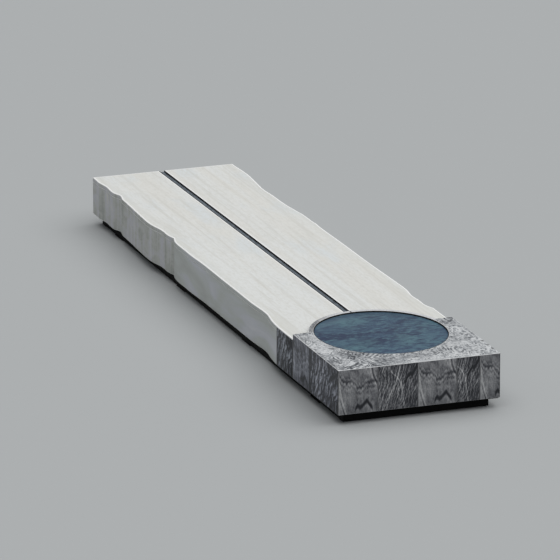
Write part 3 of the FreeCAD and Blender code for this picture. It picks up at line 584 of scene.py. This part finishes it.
def white_stone():
    """Honed off-white stone: lengthwise bands on top, split and streaked at the sides, whose darker
    colours are partly painted shade, with a painted highlight on the arrises.
    """
    t = Recipe("white_stone_bands")
    streaks = t.noise(t.stretch((13.0, 13.0, 0.9)), detail=5, rough=0.62, warp=0.3)
    # painted shade: upright faces take the darker, cooler side colours and level faces take the top's
    colour = t.mix(t.facing_up(), shaded_white_side(t, streaks), white_top(t))
    # painted highlight: the eased arrises, and the strip inside the seat's top arris, are painted near
    # white
    colour = t.mix(t.math("MULTIPLY", t.arris(), 0.95), colour, ARRIS_HIGHLIGHT)
    grain = t.noise(t.here, scale=420, detail=3)
    pores = t.noise(t.stretch((60.0, 190.0, 190.0)), detail=4, rough=0.65)
    normal = t.bump(grain, 0.0003)
    normal = t.bump(pores, 0.0006, normal)
    normal = t.bump(streaks, split_bump_depth(t), normal)
    roughness = t.span(grain, 0.3, 0.7, 0.50, 0.68)
    return t.finish(colour, roughness, normal, specular=0.35)


def white_top(t):
    """The honed top: wide and narrow bands, cool clouds, sandy mottle, greener at the rims."""
    wide = t.noise(t.stretch((0.22, 7.0, 1.0)), detail=4, rough=0.5, warp=0.4)
    narrow = t.noise(t.stretch((0.8, 24.0, 6.0)), detail=4, rough=0.5, warp=0.6)
    mottle = t.noise(t.stretch((14.0, 48.0, 20.0)), detail=4, rough=0.7)
    clouds = t.noise(t.stretch((1.1, 3.6, 2.0), shift=(4, 1, 0)), detail=3, rough=0.5)
    top = t.mix(t.span(wide, 0.38, 0.62), CREAM, PALE)
    top = t.mix(t.span(clouds, 0.52, 0.70), top, COOL)
    top = t.mix(t.span(narrow, 0.44, 0.74, 0.0, 0.60), top, SAND)
    top = t.mix(t.span(mottle, 0.42, 0.68, 0.0, 0.45), top, SAND)
    return t.mix(t.span(t.math("ABSOLUTE", t.y), 0.50, 0.68, 0.0, 0.20), top, TOP_RIM)


def shaded_white_side(t, streaks):
    """The sides, darker and cooler than the top partly as painted shade: streaked and blotched where
    split, softly veiled near the pool.
    """
    blotch = t.noise(t.stretch((5.0, 5.0, 9.0)), detail=5, rough=0.65, warp=0.5)
    veil = t.noise(t.stretch((0.9, 1.0, 3.6), turn=(0, 9, 0)), detail=4, rough=0.55, warp=1.0)
    split = t.ramp(t.weigh(0.5, (streaks, 0.75), (blotch, 0.55)), SPLIT_SHADED_TONES)
    smooth = t.ramp(veil, SMOOTH_SHADED_TONES)
    towards_pool = t.span(t.x, PANEL_JOINT_X - 0.02, PANEL_JOINT_X + 0.10)
    return t.mix(towards_pool, split, smooth)


def split_bump_depth(t):
    """Bump depth that is only there on the upright faces."""
    return t.math("MULTIPLY", t.math("SUBTRACT", 1.0, t.facing_up()), SPLIT_BUMP)


def marble_top():
    """The block's top slab: pale marble with contour veins, rings and chevrons, and a painted highlight
    on its arrises.
    """
    t = Recipe("grey_marble_top")
    fine = t.noise(t.stretch((26.0, 60.0, 1.0)), detail=4, rough=0.7)
    cloud = t.noise(t.stretch((5.0, 7.0, 1.0)), detail=5, rough=0.6)
    # By the front left corner the stone is darker and its veins are stronger.
    front_left = t.math("MULTIPLY", t.span(t.y, -0.35, 0.05, 1.0, 0.0), t.span(t.x, 2.45, 2.62))
    strength = t.math("MULTIPLY_ADD", front_left, 0.30, 0.90)
    contours = t.math("MULTIPLY_ADD", t.math("SUBTRACT", top_contours(t), 0.5), strength, 0.5)
    tone = t.weigh(0.59, (contours, 0.44), (fine, 1.20), (cloud, 1.15), (front_left, -0.18))
    # The fine grain is stronger on the right.
    sharper = t.span(t.y, 0.10, 0.40, 0.0, 0.50)
    tone = t.math("MULTIPLY_ADD", t.math("SUBTRACT", fine, 0.5), sharper, tone)
    for line in DARK_LINES:
        tone = t.math("MULTIPLY_ADD", t.line_mark(*line), -0.35, tone)
    tone = t.math("MULTIPLY_ADD", t.line_mark(*LIGHT_LINE), 0.30, tone)
    # The narrow strip to the left of the pool darkens towards the seat.
    back_left = t.math("MULTIPLY", t.span(t.x, 2.00, 2.06, 1.0, 0.0),
                       t.span(t.y, -0.52, -0.45, 1.0, 0.0))
    tone = t.math("MULTIPLY_ADD", back_left, -0.16, tone)
    colour = t.ramp(tone, TOP_TONES)
    # painted highlight: the eased arrises are painted near white
    colour = t.mix(t.math("MULTIPLY", t.arris(), 0.95), colour, TOP_EDGE_HIGHLIGHT)
    for spot in DARK_SPOTS:
        colour = t.mix(t.span(t.away_from(spot), 0.008, 0.022, 0.9, 0.0), colour, SPOT_DARK)
    return polished(t, colour)


def top_contours(t):
    """Vein lines on the marble top: contours, rings near the corner, chevrons in between."""
    field = t.noise(t.stretch((2.7, 3.4, 1.0), shift=(0.6, 0, 0)), detail=2, rough=0.45, warp=0.9)
    jitter = t.noise(t.stretch((14.0, 20.0, 1.0)), detail=4, rough=0.65)
    contours = vein_lines(t, field, CONTOUR_PITCH, jitter, 2.2)
    away = t.away_from(RING_CENTRE)
    rings = vein_lines(t, away, RING_PITCH, jitter, 2.8)
    contours = t.blend(t.span(away, 0.08, 0.17, 0.8, 0.0), contours, rings)
    fold = t.math("ABSOLUTE", t.math("SUBTRACT", t.x, CHEVRON_X))
    chevrons = vein_lines(t, t.math("MULTIPLY_ADD", fold, -0.9, t.y), CHEVRON_PITCH, jitter, 2.2)
    share = t.math("MULTIPLY", t.between(t.y, -0.36, -0.10, 0.05), 0.75)
    return t.blend(share, contours, chevrons)


def polished(t, colour, low=0.34, high=0.50):
    """Ends a marble's material with the faint grain of its polish."""
    grain = t.noise(t.here, scale=300, detail=3)
    return t.finish(colour, t.span(grain, 0.3, 0.7, low, high), t.bump(grain, 0.0002),
                    specular=0.4)


TOP_TONES = [(0.20, (0.035, 0.038, 0.046, 1)), (0.42, (0.165, 0.175, 0.190, 1)),
             (0.62, (0.400, 0.418, 0.435, 1)), (0.85, (0.660, 0.675, 0.685, 1))]
TOP_EDGE_HIGHLIGHT, SPOT_DARK = (0.92, 0.93, 0.94, 1), grey(0.05)
KERB_TONES = [(0.38, (0.040, 0.042, 0.048, 1)), (0.50, (0.230, 0.235, 0.245, 1)),
              (0.66, (0.520, 0.525, 0.530, 1))]
KERB_PALE, KERB_PALEST = (0.560, 0.570, 0.590, 1), (0.700, 0.700, 0.715, 1)
KERB_EDGE_HIGHLIGHT, JOINT_DARK = (0.84, 0.85, 0.86, 1), grey(0.02)


def kerb_marble():
    """The kerb's marble: dark and speckled at its left end, pale from there to the right."""
    t = Recipe("grey_marble_kerb")
    speckle = t.noise(t.here, scale=70, detail=4, rough=0.7)
    dark = t.ramp(speckle, KERB_TONES)
    pale = t.mix(t.span(speckle, 0.35, 0.65), KERB_PALE, KERB_PALEST)
    colour = t.mix(t.span(t.y, -0.42, -0.16), dark, pale)
    # painted highlight: the eased arrises are painted pale
    colour = t.mix(t.math("MULTIPLY", t.arris(), 0.7), colour, KERB_EDGE_HIGHLIGHT)
    colour = t.mix(t.line_mark(*KERB_JOINT), colour, JOINT_DARK)
    return t.finish(colour, t.span(speckle, 0.3, 0.7, 0.38, 0.55), t.bump(speckle, 0.0003),
                    specular=0.4)


def marble_side(name, axis, tiles, shade_tint, fineness=1.0, contrast=1.0):
    """Upright marble, multiplied by a tint of painted shade.  Each tile is (kind, start, end) along the
    face, veined from its start.
    """
    t = Recipe(name)
    across = t.x if axis == "x" else t.y
    tone = None
    for kind, start, end in tiles:
        along = t.math("MULTIPLY", t.math("SUBTRACT", across, start), math.copysign(1, end - start))
        tile = kind(t, along, abs(end - start), fineness)
        if tone is None:
            tone = tile
        else:
            tone = t.mix(t.math("GREATER_THAN", across, min(start, end)), tone, tile)
    tone = t.math("MULTIPLY_ADD", t.math("SUBTRACT", tone, MIDDLE_TONE), contrast, MIDDLE_TONE)
    # painted shade: the tint darkens and cools the long sides against the untinted front
    colour = t.mix(1.0, t.ramp(tone, MARBLE_TONES), shade_tint, "MULTIPLY")
    # painted highlight: the eased arrises are painted lighter
    colour = t.mix(t.math("MULTIPLY", t.arris(), 0.35), colour, SIDE_EDGE_HIGHLIGHT)
    return polished(t, colour, 0.36, 0.52)


MIDDLE_TONE = 0.46           # the tone that contrast leaves as it is
MARBLE_TONES = [(0.00, (0.012, 0.013, 0.017, 1)), (0.28, (0.060, 0.062, 0.072, 1)),
                (0.50, (0.200, 0.203, 0.215, 1)), (0.75, (0.420, 0.422, 0.430, 1)),
                (1.00, (0.680, 0.680, 0.680, 1))]
SIDE_EDGE_HIGHLIGHT = (0.50, 0.50, 0.51, 1)


def upright_fields(t, along, height, seed, fineness):
    """What upright marble is built from: clouds, fibres, fine specks and a slow drift."""
    across = t.math("MULTIPLY", along, fineness)
    place = t.add("ShaderNodeCombineXYZ", {0: across, 1: seed, 2: height}).outputs[0]
    cloud = t.noise(t.stretch((9.0, 1.0, 8.0), source=place), detail=5, rough=0.62, warp=0.8)
    fibre = t.noise(t.stretch((60.0, 1.0, 8.0), source=place), detail=4, rough=0.7, warp=0.6)
    speck = t.noise(t.stretch((95.0, 1.0, 50.0), source=place), detail=3, rough=0.7)
    drift = t.noise(t.stretch((6.0, 1.0, 5.0), source=place), detail=3, rough=0.55)
    return cloud, fibre, speck, drift


def vein_lines(t, value, pitch, drift, wander):
    """Even vein lines across a value, bent by drift: 0 in a dark vein, 1 between."""
    phase = t.math("MULTIPLY", value, 2 * math.pi / pitch)
    phase = t.math("ADD", phase, t.math("MULTIPLY", drift, 2 * math.pi * wander))
    return t.math("MULTIPLY_ADD", t.math("SINE", phase), 0.5, 0.5)


def veined_tile(t, along, width, fineness):
    """Wood-like slanting veins, darkest at the top by the edge where the tile starts."""
    height = t.math("SUBTRACT", t.z, CLADDING_FOOT)
    drawn = t.math("MULTIPLY", along, min(1.0, DRAWN_WIDTH / width))
    cloud, fibre, speck, drift = upright_fields(t, along, height, 3.7, fineness)
    slant = t.math("MULTIPLY_ADD", height, 0.30, along)
    lines = vein_lines(t, slant, VEIN_PITCH / fineness, drift, 5.0)
    broken = vein_lines(t, slant, 0.6 * VEIN_PITCH / fineness, cloud, 4.0)
    shade = t.span(drawn, 0.03, 0.20, 1.0, 0.30)
    coarse = fineness ** -0.5
    tone = t.weigh(0.345, (lines, 0.22 * coarse), (broken, 0.20 * coarse), (fibre, 0.90),
                   (speck, 0.75 / coarse), (cloud, 0.45 * coarse ** 2), (shade, -0.12))
    corner = t.stroke(height, drawn, VEINED_CORNER, 0.026, pointed=True)
    corner = t.math("MULTIPLY", corner, t.span(drawn, *VEINED_CORNER_FADE, 1.0, 0.0))
    tone = t.math("SUBTRACT", tone, t.math("MULTIPLY", corner, 0.48))
    for points in (VEINED_LEANING, VEINED_FALLING):
        pale = t.stroke(drawn, height, points, 0.010)
        tone = t.math("MULTIPLY_ADD", pale, 0.25, tone)
    return t.joint_line_and_shade(tone, along, width, fineness)


def clouded_tile(t, along, width, fineness):
    """Grey clouds hung on a dark wave, with a pale wedge, a dark peak and an upright vein."""
    height = t.math("SUBTRACT", t.z, CLADDING_FOOT)
    drawn = t.math("MULTIPLY", along, min(1.0, DRAWN_WIDTH / width))
    cloud, fibre, speck, drift = upright_fields(t, along, height, 1.2, fineness)
    tone = t.weigh(0.512, (cloud, 0.80), (fibre, 0.50 / fineness), (speck, 0.45))
    tone = dark_wave(t, tone, drawn, height, fibre, drift)
    tone = dark_peak(t, tone, drawn, height, speck)
    tone = upright_vein(t, tone, drawn, height)
    tone = pale_wedge(t, tone, drawn, height)
    return t.joint_line_and_shade(tone, along, width, fineness)


def dark_wave(t, tone, along, height, fibre, drift):
    """A dark wave across the tile, with arcs that follow it on both sides."""
    wave = t.curve(along, CLOUDED_WAVE)
    wave = t.math("MULTIPLY_ADD", t.math("SUBTRACT", fibre, 0.5), 0.10, wave)
    above = t.math("SUBTRACT", height, wave)
    arcs = t.math("SUBTRACT", vein_lines(t, above, 0.045, drift, 0.8), 0.5)
    arcs = t.math("MULTIPLY", arcs, t.near_zero(above, 0.10, core=0.02))
    tone = t.math("MULTIPLY_ADD", arcs, 0.22, tone)
    band = t.near_zero(t.math("SUBTRACT", above, 0.02), 0.045)
    return t.math("SUBTRACT", tone, t.math("MULTIPLY", band, 0.09))


def dark_peak(t, tone, along, height, speck):
    """A dark line low on the tile that rises to a peak, broken by specks."""
    peak = t.stroke(height, along, CLOUDED_PEAK, 0.030, pointed=True)
    peak = t.math("MULTIPLY", peak, t.between(along, *CLOUDED_PEAK_SPAN, 0.008))
    peak = t.math("MULTIPLY", peak, t.span(speck, 0.30, 0.50, 0.55, 1.0))
    return t.math("SUBTRACT", tone, t.math("MULTIPLY", peak, 0.50))


def upright_vein(t, tone, along, height):
    """A dark upright vein with a pale line on each side."""
    vein = t.math("SUBTRACT", along, t.curve(height, CLOUDED_UPRIGHT))
    tone = t.math("MULTIPLY_ADD", t.near_zero(vein, 0.008), -0.26, tone)
    beside = t.math("SUBTRACT", t.math("ABSOLUTE", vein), 0.014)
    return t.math("MULTIPLY_ADD", t.near_zero(beside, 0.007), 0.14, tone)


def pale_wedge(t, tone, along, height):
    """A pale wedge where the tile starts, edged by a pale rib and, low down, a dark fold."""
    rib = t.math("SUBTRACT", along, t.curve(height, CLOUDED_RIB))
    tone = t.math("MULTIPLY_ADD", t.span(rib, -0.006, 0.002, 1.0, 0.0), 0.10, tone)
    tone = t.math("MULTIPLY_ADD", t.near_zero(rib, 0.006), 0.24, tone)
    fold = t.near_zero(t.math("ADD", rib, 0.014), 0.007)
    fold = t.math("MULTIPLY", fold, t.span(height, 0.10, 0.18, 1.0, 0.0))
    return t.math("MULTIPLY_ADD", fold, -0.26, tone)


NAVY, STEEL = (0.017, 0.033, 0.080, 1), (0.042, 0.084, 0.142, 1)
TEAL, REAR_PAINTED_LIGHT = (0.092, 0.186, 0.228, 1), (0.125, 0.205, 0.260, 1)


def blue_resin():
    """Cast resin with drifting clouds of navy, steel blue and teal, like still water, and painted light
    near its rear rim.
    """
    t = Recipe("blue_resin_clouds")
    clouds = t.noise(t.stretch((4.2, 2.2, 1.0), shift=(0.8, 0.3, 0)),
                     detail=6, rough=0.62, warp=0.6)
    ripples = t.noise(t.stretch((40.0, 16.0, 1.0), turn=(0, 0, -20)),
                      detail=4, rough=0.65, warp=0.4)
    colour = t.mix(t.span(clouds, 0.44, 0.56), NAVY, STEEL)
    colour = t.mix(teal_clouds(t), colour, TEAL)
    colour = t.mix(t.span(ripples, 0.50, 0.66, 0.0, 0.75), colour, TEAL)
    colour = t.mix(t.span(ripples, 0.36, 0.50, 0.75, 0.0), colour, NAVY)
    # painted light: the disc is painted paler near its rear rim, against the shade that falls there
    rear = t.math("MULTIPLY", t.span(t.away_from(POOL_CENTRE), 0.38, 0.56),
                  t.span(t.x, 1.75, 2.05, 1.0, 0.0))
    colour = t.mix(t.math("MULTIPLY", rear, 0.45), colour, REAR_PAINTED_LIGHT)
    return t.finish(colour, t.span(clouds, 0.3, 0.7, 0.30, 0.42), t.bump(ripples, 0.0006),
                    specular=0.35)


def teal_clouds(t):
    """How far the teal clouds tint each place, broken into patches."""
    patches = t.noise(t.stretch((3.4, 1.9, 1.0), shift=(3.1, 5.2, 0)),
                      detail=5, rough=0.6, warp=0.4)
    glow = 0.0
    for x, y, reach in TEAL_SPOTS:
        spot = t.span(t.away_from((x, y)), 0.1 * reach, reach, 1.0, 0.0)
        glow = t.math("MAXIMUM", glow, spot)
    return t.math("MULTIPLY", glow, t.span(patches, 0.36, 0.66))


def painted_steel(name, base, roughness):
    """Powder coat with a fine orange-peel surface, a little lighter where it is dusty."""
    t = Recipe(name)
    peel = t.noise(t.here, scale=260, detail=3)
    dust = t.noise(t.here, scale=7, detail=5, rough=0.6)
    colour = t.mix(t.span(dust, 0.45, 0.75, 0.0, 0.5), grey(base), grey(base * 2.2))
    return t.finish(colour, t.span(dust, 0.3, 0.7, roughness - 0.08, roughness + 0.08),
                    t.bump(peel, 0.0002), specular=0.12)


SLATE_TONES = [(0.32, (0.040, 0.050, 0.063, 1)), (0.52, (0.108, 0.131, 0.155, 1)),
               (0.72, (0.210, 0.240, 0.266, 1))]


def slate():
    """Riven slate strip, blue-grey and uneven."""
    t = Recipe("slate_riven")
    layers = t.noise(t.stretch((14.0, 46.0, 10.0)), detail=6, rough=0.65)
    colour = t.ramp(layers, SLATE_TONES)
    return t.finish(colour, t.span(layers, 0.3, 0.7, 0.55, 0.75), t.bump(layers, 0.002))


def zinc():
    """Hot-dip galvanised steel with its spangle of zinc crystals."""
    t = Recipe("galvanised_spangle")
    cells = t.add("ShaderNodeTexVoronoi", {"Vector": t.here, "Scale": 85.0}).outputs["Color"]
    tone = t.add("ShaderNodeRGBToBW", {0: cells}).outputs[0]
    stain = t.noise(t.here, scale=9, detail=5)
    colour = t.mix(t.span(tone, 0.2, 0.8), (0.40, 0.42, 0.44, 1), (0.58, 0.60, 0.62, 1))
    colour = t.mix(t.span(stain, 0.5, 0.8, 0.0, 0.5), colour, (0.35, 0.36, 0.37, 1))
    return t.finish(colour, t.span(tone, 0.2, 0.8, 0.34, 0.52), t.bump(tone, 0.0002),
                    metallic=0.9)


def stainless():
    """Drawn stainless steel with fine upright lines."""
    t = Recipe("stainless_drawn")
    lines = t.noise(t.stretch((900.0, 900.0, 40.0)), detail=3)
    colour = t.mix(lines, (0.50, 0.50, 0.50, 1), (0.68, 0.68, 0.67, 1))
    return t.finish(colour, t.span(lines, 0.3, 0.7, 0.22, 0.38), t.bump(lines, 0.0001),
                    metallic=1.0)


def rubber(name, base):
    """Dull rubber or sealant with a little dust."""
    t = Recipe(name)
    dust = t.noise(t.here, scale=60, detail=5)
    colour = t.mix(t.span(dust, 0.4, 0.8), grey(base), grey(base * 1.9))
    return t.finish(colour, t.span(dust, 0.3, 0.7, 0.70, 0.90), t.bump(dust, 0.0004))


def filler():
    """Light cast filler with open bubbles."""
    t = Recipe("cast_filler")
    bubbles = t.add("ShaderNodeTexVoronoi", {"Vector": t.here, "Scale": 120.0}).outputs["Distance"]
    colour = t.mix(t.span(bubbles, 0.1, 0.5), (0.50, 0.50, 0.48, 1), (0.76, 0.76, 0.73, 1))
    return t.finish(colour, 0.9, t.bump(bubbles, 0.002))


# ------------------------------------------------------------------ pieces


def white_pieces():
    """Two seat slabs, the split side panels under them and the panel at the far end."""
    material = white_stone()
    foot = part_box("seat_slab_left")[0].z
    heights = [(foot + REBATE_TOP) / 2, REBATE_TOP - 2 * MERGE_DISTANCE, REBATE_TOP]
    for side in ("left", "right"):
        stone(f"seat_stone_{side}", f"seat_slab_{side}", material, "white_stone",
              SEAT_ARRIS, heights, seat_relief, HIGHLIGHT_STRIP)
        for part in ("far", "near"):
            panel_stone(f"side_stone_{side}_{part}", f"side_panel_{side}_{part}", material)
    panel_stone("end_stone_far", "end_panel_far", material)


def panel_stone(name, node, material):
    """A side or end panel: eased at its foot, tight to the slab above, its long face split."""
    low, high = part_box(node)
    outline = even_outline(top_outline(node), OUTLINE_STEP)
    levels = eased_levels(low.z, high.z, SEAT_ARRIS)[:ARRIS_STEPS + 1]
    levels += [(height, 0.0, False)
               for height in even_heights(low.z + SEAT_ARRIS, high.z, FACE_STEP)]
    levels.append((high.z, 0.0, False))
    return add_object(name, stone_mesh(name, outline, levels, split_relief), material,
                      "white_stone", node)


# painted shade: the block's long sides are tinted darker and bluer than its front, the rear slabs
# darkest
REAR_SHADE_TINT, SIDE_SHADE_TINT, NO_TINT = (0.58, 0.62, 0.70, 1), (0.77, 0.80, 0.91, 1), (1.0, 1.0, 1.0, 1)
REAR_CONTRAST, SIDE_CONTRAST, FRONT_CONTRAST = 1.4, 1.25, 1.15
FRONT_SLABS = 5


def marble_pieces():
    """The veined block: top slab, kerb round the pool, side slabs and five front slabs."""
    eased_marble("block_top_stone", "block_top_slab", marble_top())
    stone("pool_kerb_stone", "pool_kerb", kerb_marble(), "grey_marble", MARBLE_ARRIS / 2)
    rear_tiles = [(veined_tile, BLOCK_LOW.x, MARBLE_START_X)]
    side_tiles = [(clouded_tile, BLOCK_LOW.x, SIDE_TILE_X), (veined_tile, BLOCK_HIGH.x, SIDE_TILE_X)]
    rear = marble_side("marble_rear", "x", rear_tiles, REAR_SHADE_TINT, SIDE_FINENESS, REAR_CONTRAST)
    front = marble_side("marble_beside_pool", "x", side_tiles, SIDE_SHADE_TINT, SIDE_FINENESS,
                        SIDE_CONTRAST)
    for side in ("left", "right"):
        eased_marble(f"block_{side}_rear_stone", f"block_side_{side}_rear", rear)
        eased_marble(f"block_{side}_front_stone", f"block_side_{side}_front", front)
    for number in range(1, FRONT_SLABS + 1):
        node = f"block_front_slab_{number}"
        low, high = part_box(node)
        if number % 2:
            tile = (clouded_tile, low.y, high.y)
        else:
            tile = (veined_tile, high.y, low.y)
        material = marble_side(f"marble_front_{number}", "y", [tile], NO_TINT,
                               contrast=FRONT_CONTRAST)
        eased_marble(f"block_front_stone_{number}", node, material)


def eased_marble(name, node, material):
    """A mitred marble slab with eased edges."""
    return eased_copy(name, node, material, "grey_marble", MARBLE_ARRIS)


def pool_pieces():
    """The blue disc."""
    stone("pool_resin_disc", "pool_disc", blue_resin(), "blue_resin", DISC_ARRIS)


def plinth_pieces():
    """Rolled tube rails of the plinth.  Gives back their paint for the other black steel."""
    material = painted_steel("plinth_powder_coat", 0.004, 0.75)
    for node, axis in (("plinth_rail_left", 0), ("plinth_rail_right", 0),
                       ("plinth_end_far", 1), ("plinth_end_pool", 1)):
        square_tube(node + "_tube", node, axis, material)
    return material


def kept_pieces(powder_coat):
    """Materials for the CAD nodes that keep their own meshes."""
    finishes = {
        "black_steel": powder_coat,
        "slate": slate(),
        "galvanised_steel": zinc(),
        "stainless": stainless(),
        "rubber": rubber("bearing_rubber", 0.020),
        "seal": rubber("joint_sealant", 0.012),
        "foam_core": filler(),
    }
    for row in frame["record"]["subparts"]:
        if row["material_slot"] in finishes:
            piece = frame["nodes"][row["node"]]
            piece.data.materials.clear()
            piece.data.materials.append(finishes[row["material_slot"]])


# ------------------------------------------------------------------ studio

FLOOR_REACH = 150.0
CAMERA_PLACE = (47.590, -17.438, 15.493)
CAMERA_AZIMUTH = 69.94       # degrees round from looking along +Y
CAMERA_ELEVATION = 16.72     # degrees above the horizon
CAMERA_LENS = 415.39         # in millimetres, as the sensor's width is
CAMERA_SENSOR = 36.0
CAMERA_FAR = 400.0
FLOOR_COLOUR = (0.44, 0.455, 0.46, 1)
SOFTBOX_ENERGY = 2.22
SOFTBOX_SPREAD = math.radians(95)
SOFTBOX_COLOUR = (1.0, 0.995, 0.985)
SOFTBOX_SIDE = (0.10, 0.24, 1.0)      # direction from the bench to the light
ROOM_COLOUR = (0.93, 0.96, 1.0, 1)
ROOM_STRENGTH = 0.27


def floor():
    """A plain pale floor."""
    work = bmesh.new()
    corners = [work.verts.new((x * FLOOR_REACH, y * FLOOR_REACH, 0.0))
               for x, y in ((-1, -1), (1, -1), (1, 1), (-1, 1))]
    work.faces.new(corners)
    mesh_data = bpy.data.meshes.new("studio_floor")
    work.to_mesh(mesh_data)
    work.free()
    ground = bpy.data.objects.new("studio_floor", mesh_data)
    bpy.context.scene.collection.objects.link(ground)
    t = Recipe("studio_floor_paint")
    mesh_data.materials.append(t.finish(FLOOR_COLOUR, 0.9, specular=0.1))


def lights():
    """A broad soft light from above, leaning to the right and the pool, and a dim room."""
    lamp = bpy.data.lights.new("overhead_softbox", "SUN")
    lamp.energy = SOFTBOX_ENERGY
    lamp.angle = SOFTBOX_SPREAD
    lamp.color = SOFTBOX_COLOUR
    softbox = bpy.data.objects.new("overhead_softbox", lamp)
    softbox.rotation_euler = Vector(SOFTBOX_SIDE).to_track_quat("Z", "Y").to_euler()
    bpy.context.scene.collection.objects.link(softbox)
    world = bpy.data.worlds.new("studio_room")
    world.use_nodes = True
    background = world.node_tree.nodes["Background"]
    background.inputs["Color"].default_value = ROOM_COLOUR
    background.inputs["Strength"].default_value = ROOM_STRENGTH
    bpy.context.scene.world = world


def camera():
    """The viewpoint: far away, with a long lens."""
    lens = bpy.data.cameras.new("photo_camera")
    lens.sensor_width = CAMERA_SENSOR
    lens.lens = CAMERA_LENS
    lens.clip_end = CAMERA_FAR
    viewer = bpy.data.objects.new("photo_camera", lens)
    viewer.location = CAMERA_PLACE
    viewer.rotation_euler = (math.radians(90 - CAMERA_ELEVATION), 0,
                             math.radians(CAMERA_AZIMUTH))
    bpy.context.scene.collection.objects.link(viewer)
    bpy.context.scene.camera = viewer


bpy.context.scene.view_settings.view_transform = "Standard"
camera()
floor()
lights()
white_pieces()
marble_pieces()
pool_pieces()
kept_pieces(plinth_pieces())
